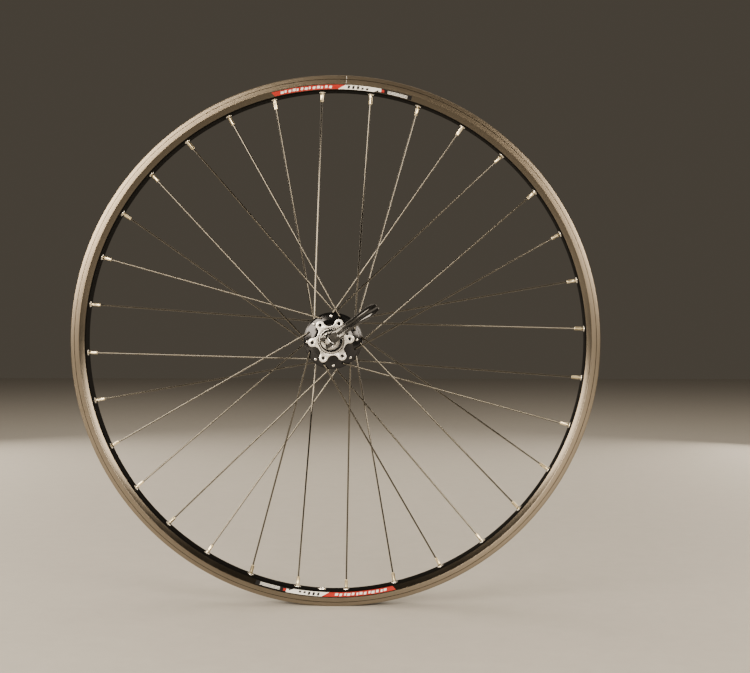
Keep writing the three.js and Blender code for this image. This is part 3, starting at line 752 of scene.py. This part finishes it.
def make_hub_shell():
    profile = [
        (11.35, -55.6), (11.8, -56.2), (12.6, -56.3), (13.0, -55.9), (13.1, -55.2), (13.1, -51.2),
        (13.6, -51.15), (14.5, -51.1), (15.4, -51.0), (16.6, -50.6), (16.7, -43.2), (17.3, -41.9),
        (19.0, -40.4), (21.6, -38.9), (24.2, -37.6), (24.7, -37.37), (25.2, -37.27), (31.2, -36.13),
        (31.6, -36.0), (32.5, -35.6), (33.2, -35.1),
        *flange_profile(DISC_FLANGE_Y)[3:],
        (26, -33.2), (22.2, -32.8), (18.6, -31.8), (16.0, -30.4), (14.7, -29.0), (14.3, -28.0),
        (14.3, 6.25), (16.5, 6.5), (18.8, 7.1), (19.7, 8.0), (20.2, 10.5), (20.6, 13.4), (21.6, 15.8),
        (23.4, 17.4), (26.5, 18.2),
        *flange_profile(DRIVE_FLANGE_Y),
        (26, 21.9), (22, 22.3), (20.0, 22.6), (18.4, 22.5), (18.2, 22.2), (18.2, 8.6), (11.3, 8.5),
        (11.3, 0.9), (9.0, 0.8), (9.0, -48.2), (11.3, -48.3),
    ]
    shell = solid("hub_shell_body", lathe(profile, 128), HUB_BLACK)
    holes = []
    for y, shift in ((DISC_FLANGE_Y, 0.0), (DRIVE_FLANGE_Y, PITCH)):
        for i in range(SPOKES // 2):
            angle = FIRST_NIPPLE + shift + 2 * i * PITCH
            ends = (polar(HOLE_CIRCLE, angle, y - 3), polar(HOLE_CIRCLE, angle, y + 3))
            holes.append(cylinder(*ends, SPOKE_HOLE, 16))
    combine(shell, joined(*holes), "DIFFERENCE")
    shell.data.materials.append(TURNED)
    for face in shell.data.polygons:
        x, y, z = face.center / MM
        if y < RECESS_Y and RECESS_RING[0] < math.hypot(x, z) < RECESS_RING[1]:
            face.material_index = TRIM_AND_HIGHLIGHT_SLOT
    return place(shell, "wheel", "hub_black", "hub_shell")


def arc_points(centre, first, last, radius, steps, turning):
    """(x, z) points on an arc from one place to another. turning is 1 or -1, for the way round."""
    begin = math.atan2(first.z - centre.z, first.x - centre.x)
    end = math.atan2(last.z - centre.z, last.x - centre.x)
    if (end - begin) * turning < 0:
        end += turning * TAU
    points = []
    for i in range(steps + 1):
        turn = begin + (end - begin) * i / steps
        points.append((centre.x + radius * math.cos(turn), centre.z + radius * math.sin(turn)))
    return points


def star_outline(waist, lobe, fillet):
    """Round lobes at the disc bolts, blended into a round middle."""
    reach = waist + fillet
    gap = lobe + fillet
    spread = math.degrees(math.acos((reach ** 2 + BOLT_CIRCLE ** 2 - gap ** 2) / (2 * reach * BOLT_CIRCLE)))
    points = []
    for k in range(BOLTS):
        middle = ROTOR_ANGLE + 360 / BOLTS * k
        centre = polar(BOLT_CIRCLE, middle)
        low = polar(reach, middle - spread)
        high = polar(reach, middle + spread)
        low_touch = low.lerp(centre, fillet / gap)
        high_touch = high.lerp(centre, fillet / gap)
        points += arc_points(low, polar(waist, middle - spread), low_touch, fillet, 10, -1)
        points += arc_points(centre, low_touch, high_touch, lobe, 22, 1)
        points += arc_points(high, high_touch, polar(waist, middle + spread), fillet, 10, -1)
    clean = [points[0]]
    for point in points[1:]:
        if math.dist(point, clean[-1]) > 0.02:
            clean.append(point)
    return clean


MOUNT_WAIST = 17.1
MOUNT_LOBE = 4.9
MOUNT_FILLET = 6.2
BOLT_HOLE = 2.15


def make_disc_mount():
    outline = star_outline(MOUNT_WAIST, MOUNT_LOBE, MOUNT_FILLET)
    mount = solid("hub_disc_mount", prism(outline, ROTOR_Y, -43.3), HUB_BLACK)
    holes = []
    for i in range(BOLTS):
        angle = ROTOR_ANGLE + 360 / BOLTS * i
        ends = (polar(BOLT_CIRCLE, angle, ROTOR_Y - 1), polar(BOLT_CIRCLE, angle, -42))
        holes.append(cylinder(*ends, BOLT_HOLE, 24))
    holes.append(cylinder((0, ROTOR_Y - 1, 0), (0, -50.9, 0), 15.5, 96))
    combine(mount, joined(*holes), "DIFFERENCE")
    combine(mount, cylinder((0, -51.2, 0), (0, -42, 0), 12.5, 64), "DIFFERENCE")
    rounded(mount, 0.35)
    mount.data.materials.append(FACED)
    for face in mount.data.polygons:
        if face.center.y / MM < ROTOR_Y + 0.05 and face.normal.y < -0.8:
            face.material_index = TRIM_AND_HIGHLIGHT_SLOT
    return place(mount, "wheel", "hub_black")


make_hub_shell()
make_disc_mount()


def make_sleeve():
    profile = [
        (14.6, -28.3), (16.5, -28.4), (17.3, -28.0), (17.6, -27.2), (17.65, -26.4), (17.65, 4.2),
        (17.6, 5.0), (17.3, 5.7), (16.5, 6.0), (14.6, 6.0),
    ]
    return place(solid("hub_red_sleeve", lathe(profile, 128), RED), "wheel", "sleeve_red", "hub_sleeve")


make_sleeve()


# ---------- axle, end caps and locknuts ----------
def make_axle():
    profile = [
        (2.95, -72.6), (3.3, -STUB_Y), (4.6, -STUB_Y), (5.0, -72.6), (5.0, -48.3), (7.0, -48.2),
        (7.0, 0.8), (5.0, 0.9), (5.0, 72.6), (4.6, STUB_Y), (3.3, STUB_Y), (2.95, 72.6),
    ]
    return place(solid("axle_tube", lathe(profile, 64), TURNED), "axle_set", "silver_alloy", "axle")


def make_end_caps():
    disc_side = [
        (5.3, -66.4), (9.0, -66.4), (9.5, -66.0), (9.65, -65.4), (9.65, -63.2), (9.35, -62.9),
        (9.35, -62.3), (9.65, -62.0), (9.65, -57.2), (9.5, -56.5), (9.0, -56.2), (7.1, -55.0),
        (5.3, -54.9),
    ]
    drive_side = [
        (5.3, 61.0), (7.6, 61.0), (8.3, 61.3), (8.8, 61.9), (8.9, 62.6), (8.8, 63.7), (8.4, 64.2),
        (5.3, 64.2),
    ]
    left = solid("end_cap_left", lathe(disc_side, 96), HUB_BLACK)
    place(left, "axle_set", "hub_black", "end_cap_disc_side")
    right = solid("end_cap_right", lathe(drive_side, 96), HUB_BLACK)
    place(right, "axle_set", "hub_black", "end_cap_drive_side")


LOCKNUT_RIDGES = 40
RIDGE_SHAPE = (0.0, 0.16, 0.16, 0.0)
RIDGE_DEPTH = 0.16


def make_locknut(name, node_name, sign, radius, thickness):
    """A ring whose outer face is cut into fine ridges that bite the dropout."""
    back = LOCKNUT_Y - thickness
    floor_y = LOCKNUT_Y - RIDGE_DEPTH
    sides = LOCKNUT_RIDGES * len(RIDGE_SHAPE)
    rings = []
    for i in range(sides):
        turn = TAU * i / sides
        ridge = floor_y + RIDGE_SHAPE[i % len(RIDGE_SHAPE)]
        profile = [
            (5.3, back), (radius - 0.15, back), (radius, back + 0.15), (radius, LOCKNUT_Y - 0.45),
            (radius - 0.35, ridge), (radius - 2.4, ridge), (radius - 2.6, LOCKNUT_Y - 0.3),
            (6.2, LOCKNUT_Y - 0.3), (6.0, LOCKNUT_Y - 0.1), (5.3, LOCKNUT_Y - 0.1),
        ]
        rings.append([(r * math.cos(turn), sign * y, r * math.sin(turn)) for r, y in profile])
    rings.append(rings[0])
    place(solid(name, grid(rings, caps=False), PLATED), "axle_set", "silver_steel", node_name)


make_axle()
make_end_caps()
make_locknut("locknut_left", "locknut_disc_side", -1, 10.0, 0.85)
make_locknut("locknut_right", "locknut_drive_side", 1, 8.6, 3.0)


# ---------- freehub ----------
SPLINE_ROOT = 15.95
SPLINE_CREST = 17.4
SPLINE_COUNT = 9
SPLINE_WIDTH = 20
SPLINE_FLANK = 1.1
SPLINE_STEPS = 6
OIL_HOLE_RADIUS = 1.9
OIL_HOLE_Y = 30.6
PAWL_PIVOT = 10.4
PAWL_ROOM = 2.05


def spline_outline():
    """Wide crests with short flanks between them, as (x, z) points. Widths are in degrees."""
    pitch = 360 / SPLINE_COUNT
    root_width = pitch - SPLINE_WIDTH - 2 * SPLINE_FLANK
    points = []
    for k in range(SPLINE_COUNT):
        start = k * pitch - SPLINE_WIDTH / 2
        root_start = start + SPLINE_WIDTH + SPLINE_FLANK
        for i in range(SPLINE_STEPS + 1):
            points.append(polar(SPLINE_CREST, start + SPLINE_WIDTH * i / SPLINE_STEPS))
        for i in range(SPLINE_STEPS + 1):
            points.append(polar(SPLINE_ROOT, root_start + root_width * i / SPLINE_STEPS))
    return [(point.x, point.z) for point in points]


def pawl_pocket(number):
    """The room for a pawl: round about its pivot, and open outwards."""
    outline = [(8.2, 9.5)]
    for k in range(9):
        turn = math.radians(-180 + 22.5 * k)
        outline.append((PAWL_PIVOT + PAWL_ROOM * math.cos(turn), PAWL_ROOM * math.sin(turn)))
    outline += [(14.0, 0.0), (14.0, 9.5)]
    spin = Matrix.Rotation(-math.radians(360 / PAWLS * number), 4, "Y")
    return moved(prism(outline, 11.2, 17.8), spin)


def make_freehub():
    core = [
        (7.4, 8.9), (12.9, 8.9), (13.2, 9.2), (13.2, 11.1), (13.2, 19.2), (12.7, 21.8), (12.6, 23.5),
        (17.5, 23.6), (17.9, 23.9), (18.0, 24.3), (18.0, 26.3), (17.8, 26.55), (15.9, 26.6),
        (15.8, 60.6), (15.5, 61.0), (13.9, 61.0), (13.7, 60.7), (13.7, 60.3), (11.35, 60.2),
        (11.3, 54.4), (9.4, 54.3), (9.4, 32.4), (11.3, 32.3), (11.3, 25.8), (7.4, 25.7),
    ]
    body = solid("freehub_carrier", lathe(core, 108), NICKEL)
    combine(body, joined(*[pawl_pocket(i) for i in range(PAWLS)]), "DIFFERENCE")
    spring_groove = lathe([(12.1, 13.8), (20, 13.8), (20, 15.2), (12.1, 15.2)], 64)
    combine(body, spring_groove, "DIFFERENCE")
    place(body, "freehub", "freehub_nickel", "freehub_body")

    splines = solid("freehub_splines", prism(spline_outline(), 26.7, 60.3), NICKEL)
    combine(splines, cylinder((0, 20, 0), (0, 65, 0), 15.7, 96), "DIFFERENCE")
    rounded(splines, 0.25, 2, 25)
    holes = []
    for angle in range(0, 360, 40):
        if angle % 120:
            ends = (polar(15.0, angle, OIL_HOLE_Y), polar(19, angle, OIL_HOLE_Y))
            holes.append(cylinder(*ends, OIL_HOLE_RADIUS, 20))
    combine(splines, joined(*holes), "DIFFERENCE")
    place(splines, "freehub", "freehub_nickel")


def make_seal():
    profile = [
        (13.2, 20.7), (17.2, 20.6), (17.6, 20.8), (17.9, 21.4), (17.6, 22.0), (17.2, 22.2),
        (13.2, 22.2),
    ]
    place(solid("freehub_lip_seal", lathe(profile, 96), RUBBER), "freehub", "seal_rubber", "freehub_seal")


make_freehub()
make_seal()


# ---------- skewer ----------
# Made with the closed lever along +X, the axle along Y and the pin along Z, then turned about the axle.
LEVER_TURN = Matrix.Rotation(-math.radians(LEVER_ANGLE), 4, "Y")


def turn_to_lever(piece):
    piece.data.transform(LEVER_TURN)
    return piece


def clamp_teeth(y):
    """Radial grooves to cut into a clamping face."""
    grooves = []
    for i in range(CLAMP_TEETH):
        angle = 360 / CLAMP_TEETH * i
        grooves.append(cylinder(polar(5.2, angle, y), polar(10.6, angle, y), 0.28, 6))
    return joined(*grooves)


SEAT_INNER = 8.97
SEAT_OUTER = 10.2
SEAT_START = 47
SEAT_SWEEP = 86
SEAT_STEPS = 24
SEAT_HALF_WIDTH = 6.4


def cam_seat_shape():
    """The curved block that the cam rolls in."""
    outline = []
    for radius, start, way in ((SEAT_OUTER, SEAT_START, 1), (SEAT_INNER, SEAT_START + SEAT_SWEEP, -1)):
        for i in range(SEAT_STEPS + 1):
            turn = math.radians(start + way * SEAT_SWEEP * i / SEAT_STEPS)
            outline.append((radius * math.cos(turn), CAM_Y + radius * math.sin(turn)))
    return grid([[(x, y, z) for x, y in outline] for z in (-SEAT_HALF_WIDTH, SEAT_HALF_WIDTH)])


def make_clamp():
    ring = [
        (2.9, -75.2), (5.6, -75.2), (5.8, -CLAMP_Y), (9.3, -CLAMP_Y), (9.75, -75.35), (9.8, -77.1),
        (9.6, -77.3), (2.9, -77.3),
    ]
    band = [(2.9, -77.35), (9.7, -77.35), (10.0, -77.6), (10.0, -80.0), (9.7, -80.25), (2.9, -80.25)]
    cap = [(2.9, -80.3), (9.5, -80.3), (9.9, -80.6), (9.9, -81.3), (9.4, -81.8), (8.6, -82.0), (2.9, -82.0)]
    steel = solid("qr_clamp_ring", lathe(ring, 96), PLATED)
    combine(steel, clamp_teeth(-CLAMP_Y + 0.05), "DIFFERENCE")
    place(steel, "skewer_clamp", "silver_steel")
    place(solid("qr_clamp_band", lathe(band, 96), BLACK_BAND), "skewer_clamp", "lever_black", "qr_housing")
    base = solid("qr_clamp_cap", lathe(cap, 96), PLATED)
    combine(base, cylinder((0, CAM_Y, -13), (0, CAM_Y, 13), 8.95, 96), "DIFFERENCE")
    place(turn_to_lever(base), "skewer_clamp", "silver_steel")
    seat = solid("qr_cam_seat", cam_seat_shape(), PLATED)
    combine(seat, cylinder((0, CAM_Y, 0), (0, CAM_Y + 14, 0), 2.9, 32), "DIFFERENCE")
    rounded(seat, 0.22)
    place(turn_to_lever(seat), "skewer_clamp", "silver_steel")


# x along the lever, its middle's height over the pivot, half thickness, half width and groove depth
LEVER_STATIONS = [
    (3.6, -2.4, 4.0, 6.9, 0.0), (6.0, -3.3, 4.0, 6.9, 0.0), (8.5, -4.8, 3.8, 6.8, 0.0),
    (11.0, -6.1, 3.4, 6.5, 0.2), (14.0, -7.0, 2.9, 6.1, 1.0), (18.0, -7.5, 2.45, 5.6, 1.5),
    (23.0, -7.6, 2.35, 5.25, 1.6), (29.0, -7.4, 2.35, 5.1, 1.6), (35.0, -6.8, 2.35, 5.1, 1.6),
    (41.0, -5.7, 2.35, 5.4, 1.6), (47.0, -4.2, 2.3, 5.85, 1.5), (53.0, -2.1, 2.2, 6.3, 1.3),
    (58.0, 0.3, 2.05, 6.4, 1.2), (62.0, 2.6, 1.85, 6.0, 1.0), (64.8, 4.4, 1.55, 5.2, 0.8),
    (66.4, 5.5, 1.15, 4.2, 0.5), (67.1, 6.0, 0.5, 2.8, 0.2),
]


def smooth_stations(stations, per_gap):
    """Catmull-Rom between the stations, so that the lever has no corners."""
    out = []
    last = len(stations) - 1
    for i in range(last):
        a, b, c, d = (stations[max(0, min(last, k))] for k in (i - 1, i, i + 1, i + 2))
        for k in range(per_gap):
            t = k / per_gap
            blended = []
            for p, q, r, s in zip(a, b, c, d):
                curve = (2 * p - 5 * q + 4 * r - s) * t ** 2 + (3 * q - p - 3 * r + s) * t ** 3
                blended.append(0.5 * (2 * q + (r - p) * t + curve))
            out.append(blended)
    out.append(list(stations[-1]))
    return out


SECTION_SIDES = 56
SECTION_POWER = 0.62
GROOVE_SHARE = 0.24


def lever_section(half_thick, half_wide, groove):
    """A rounded oblong with a groove along its inner face, as (height, z) points."""
    ring = []
    for i in range(SECTION_SIDES):
        turn = TAU * i / SECTION_SIDES
        c = math.cos(turn)
        s = math.sin(turn)
        z = half_wide * math.copysign(abs(c) ** SECTION_POWER, c)
        height = half_thick * math.copysign(abs(s) ** SECTION_POWER, s)
        if s < 0:
            height += groove * math.exp(-((z / (GROOVE_SHARE * half_wide)) ** 4))
        ring.append((height, z))
    return ring


def lever_arm_shape():
    stations = smooth_stations(LEVER_STATIONS, 3)
    rings = []
    for i, (x, y, thick, wide, groove) in enumerate(stations):
        before = stations[max(0, i - 1)]
        after = stations[min(len(stations) - 1, i + 1)]
        along = Vector((after[0] - before[0], after[1] - before[1], 0)).normalized()
        over = Vector((-along.y, along.x, 0))
        middle = Vector((x, CAM_Y + y, 0))
        section = lever_section(thick, wide, groove)
        rings.append([middle + over * height + Vector((0, 0, z)) for height, z in section])
    return grid(rings)


CAM_PROFILE = [(6.9, -7.0), (7.4, -6.8), (7.6, -6.3), (7.6, 6.3), (7.4, 6.8), (6.9, 7.0)]
CAM_OFFSET = 0.8
PIN_HOLE = 2.6
LEVER_CREASE = 40
# Painted highlights: silver plates for the bright patches that the light makes on the black lever's rails
# near its root.
HIGHLIGHT_PLATE_LINE = [(13.0, -9.92), (15.0, -10.12), (17.0, -10.22), (19.0, -10.24), (20.5, -10.22)]
HIGHLIGHT_PLATE_DEPTH = 0.5


def make_lever():
    lever = solid("qr_lever_arm", lever_arm_shape(), LEVER_BLACK, crease=45)
    combine(lever, round_rings(CAM_PROFILE, CAM_Y + CAM_OFFSET, 72), "UNION", LEVER_CREASE)
    cuts = (
        box(-14, 3.4, CAM_Y - 14, CAM_Y + 14, -3.1, 3.1),
        box(3.3, 4.4, CAM_Y - 4.4, CAM_Y + 14, -3.1, 3.1),
        cylinder((0, CAM_Y, -12), (0, CAM_Y, 12), PIN_HOLE, 32),
        cylinder((71.2, CAM_Y + 1.2, 0), (64.0, CAM_Y + 9.6, 0), 1.5, 32),
    )
    for cut in cuts:
        combine(lever, cut, "DIFFERENCE", LEVER_CREASE)
    place(turn_to_lever(lever), "lever", "lever_black", "qr_lever")


def make_lever_highlight_plate(sign, name):
    """A silver plate on one rail of the lever, near its root: a painted highlight, for the bright patch
    that the light makes there on the black lever.
    """
    rings = []
    for x, y in HIGHLIGHT_PLATE_LINE:
        top = CAM_Y + y
        low = CAM_Y + y + HIGHLIGHT_PLATE_DEPTH
        corners = ((low, 1.75), (low, 4.55), (top, 4.3), (top, 1.95))
        rings.append([(x, level, sign * z) for level, z in corners])
    plate = solid(f"qr_lever_highlight_plate_{name}", grid(rings), TURNED)
    place(turn_to_lever(plate), "lever", "silver_steel")


PIN_HEAD = [
    (2.3, 7.3), (5.3, 7.35), (5.65, 7.6), (5.7, 8.0), (5.3, 8.45), (4.4, 8.7), (3.2, 8.8), (1.2, 8.8),
]


def make_pin():
    profile = [(radius, -z) for radius, z in PIN_HEAD[::-1]] + [(2.3, 0.0)] + PIN_HEAD
    pin = solid("qr_pin", round_rings(profile, CAM_Y, 48), PLATED, 35)
    for sign in (-1, 1):
        key_hole = cylinder((0, CAM_Y, sign * 6.8), (0, CAM_Y, sign * 9.4), 1.75, 6)
        combine(pin, key_hole, "DIFFERENCE", 35)
    place(turn_to_lever(pin), "lever", "silver_steel", "qr_pivot_pin")


ROD_RADIUS = 2.5
THREAD_ROOT = 2.2
THREAD_PITCH = 0.8
THREAD_START = 60.4
THREAD_END = 86.8
EYE_PROFILE = [(3.6, -2.8), (4.0, -2.4), (4.0, 2.4), (3.6, 2.8)]


def make_rod():
    profile = [(0.0, CAM_Y), (ROD_RADIUS, CAM_Y), (ROD_RADIUS, 60.0)]
    y = THREAD_START
    while y < THREAD_END:
        profile += [(THREAD_ROOT, y), (ROD_RADIUS, y + THREAD_PITCH / 2)]
        y += THREAD_PITCH
    profile += [(2.1, 87.6), (1.6, 88.0), (0.0, 88.0)]
    rod = solid("qr_rod_shank", lathe(profile, 32), PLATED, 40)
    combine(rod, round_rings(EYE_PROFILE, CAM_Y, 40), "UNION", 35)
    combine(rod, cylinder((0, CAM_Y, -12), (0, CAM_Y, 12), PIN_HOLE, 32), "DIFFERENCE", 35)
    place(turn_to_lever(rod), "skewer_rod", "silver_steel", "qr_rod")


NUT_SCALLOPS = 4


def make_nut():
    ring = [
        (2.8, 75.2), (5.6, 75.2), (5.8, CLAMP_Y), (8.7, CLAMP_Y), (9.15, 75.35), (9.2, 77.0),
        (9.0, 77.25), (2.8, 77.25),
    ]
    steel = solid("qr_nut_ring", lathe(ring, 96), PLATED)
    combine(steel, clamp_teeth(CLAMP_Y - 0.05), "DIFFERENCE")
    place(steel, "nut", "silver_steel")
    cone = [
        (2.8, 77.3), (9.0, 77.3), (9.3, 77.6), (9.25, 79.2), (8.9, 81.2), (7.9, 86.4), (7.3, 89.0),
        (6.6, 90.2), (5.2, 90.8), (2.4, 91.0), (0.0, 91.0), (0.0, 88.4), (2.8, 88.4),
    ]
    nut = solid("qr_nut_body", lathe(cone, 96), LEVER_BLACK)
    scallops = []
    for i in range(NUT_SCALLOPS):
        out = polar(11.2, 45 + 360 / NUT_SCALLOPS * i)
        scallops.append(cylinder((out.x, 79.4, out.z), (out.x, 93, out.z), 4.2, 40))
    combine(nut, joined(*scallops), "DIFFERENCE")
    rounded(nut, 0.3, 2, 30)
    place(turn_to_lever(nut), "nut", "lever_black", "qr_nut")


SPRING_STEPS = 132
SPRING_TURNS = 2.75
SPRING_WIRE = 0.5
SPRING_SMALL = 3.8
SPRING_GROWTH = 3.6
SPRING_CLEARANCE = 0.8


def make_spring(name, node_name, sign, body):
    """A conical spring between the axle's end and the clamping face."""
    points = []
    length = CLAMP_Y - STUB_Y - 2 * SPRING_CLEARANCE
    for i in range(SPRING_STEPS + 1):
        part = i / SPRING_STEPS
        height = STUB_Y + SPRING_CLEARANCE + part * length
        points.append(polar(SPRING_SMALL + part * SPRING_GROWTH, part * SPRING_TURNS * 360, sign * height))
    spring = solid(name, tube(points, [SPRING_WIRE] * len(points), 10), PLATED, 60)
    place(turn_to_lever(spring), body, "silver_steel", node_name)


make_clamp()
make_lever()
# Painted highlights on the lever's two rails.
make_lever_highlight_plate(-1, "a")
make_lever_highlight_plate(1, "b")
make_pin()
make_rod()
make_nut()
make_spring("qr_spring_left", "qr_spring_lever_side", -1, "skewer_clamp")
make_spring("qr_spring_right", "qr_spring_nut_side", 1, "nut_spring")

# ---------- inner pieces kept from the CAD model ----------
KEPT = {
    "bearing_disc_side": GROUND, "bearing_drive_side": GROUND, "freehub_bearing_inner": GROUND,
    "freehub_bearing_outer": GROUND, "freehub_spacer_inner": TURNED, "freehub_spacer_outer": TURNED,
    "pawl_spring": PLATED, "pawl_1": GROUND, "pawl_2": GROUND, "pawl_3": GROUND, "ratchet_ring": GROUND,
}
for name, material in KEPT.items():
    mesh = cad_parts[name].data
    mesh.materials.clear()
    mesh.materials.append(material)


# ---------- floor, light and camera ----------
FLOOR_HALF = 8.0
LIGHT_COLOUR = (1.0, 0.87, 0.7)
WORLD_COLOUR = (0.112, 0.095, 0.073, 1)
WORLD_STRENGTH = 0.62
CAMERA_PLACE = (0.104, -1.496, 0.005)
CAMERA_TURN = 2.1
CAMERA_LENS = 59.7
CAMERA_SENSOR = 36


def make_floor():
    low = -RIM_OUTER * MM
    corners = [(x * FLOOR_HALF, y * FLOOR_HALF, low) for x, y in ((-1, -1), (1, -1), (1, 1), (-1, 1))]
    mesh = bpy.data.meshes.new("floor")
    mesh.from_pydata(corners, [], [(0, 1, 2, 3)])
    mesh.materials.append(finish("floor_pale", (0.52, 0.5, 0.465), 0.7, 0.0,
                                 scale=60, tone=0.05, rough_spread=0.1, bump=0.05, depth=0.0004))
    link_new("floor", mesh)


def make_light(name, location, target, size, power):
    data = bpy.data.lights.new(name, "AREA")
    data.shape = "RECTANGLE"
    data.size, data.size_y = size
    data.energy = power
    data.color = LIGHT_COLOUR
    light = link_new(name, data)
    light.location = location
    aim = Vector(target) - Vector(location)
    light.rotation_euler = aim.to_track_quat("-Z", "Y").to_euler()


def make_lights():
    make_light("soft_left", (-1.72, -2.3, 0.8), (0, 0, 0), (2.5, 1.0), 150)
    make_light("soft_right", (1.7, -2.34, 0.84), (0, 0, 0), (1.6, 1.0), 86)
    make_light("top", (0.0, 0.9, 3.4), (0, 0.9, 0), (5.0, 4.0), 90)
    make_light("back_left", (-1.5, 1.7, 0.7), (0, 0, 0), (1.3, 1.5), 26)
    make_light("back_right", (1.4, 1.8, 0.5), (0, 0, 0), (1.3, 1.5), 20)
    world = bpy.data.worlds.new("studio")
    world.use_nodes = True
    background = world.node_tree.nodes["Background"]
    background.inputs["Color"].default_value = WORLD_COLOUR
    background.inputs["Strength"].default_value = WORLD_STRENGTH
    bpy.context.scene.world = world


def make_camera():
    data = bpy.data.cameras.new("camera")
    data.lens = CAMERA_LENS
    data.sensor_width = CAMERA_SENSOR
    camera = link_new("camera", data)
    camera.location = CAMERA_PLACE
    camera.rotation_euler = (math.radians(90), 0, math.radians(CAMERA_TURN))
    bpy.context.scene.camera = camera


make_floor()
make_lights()
make_camera()
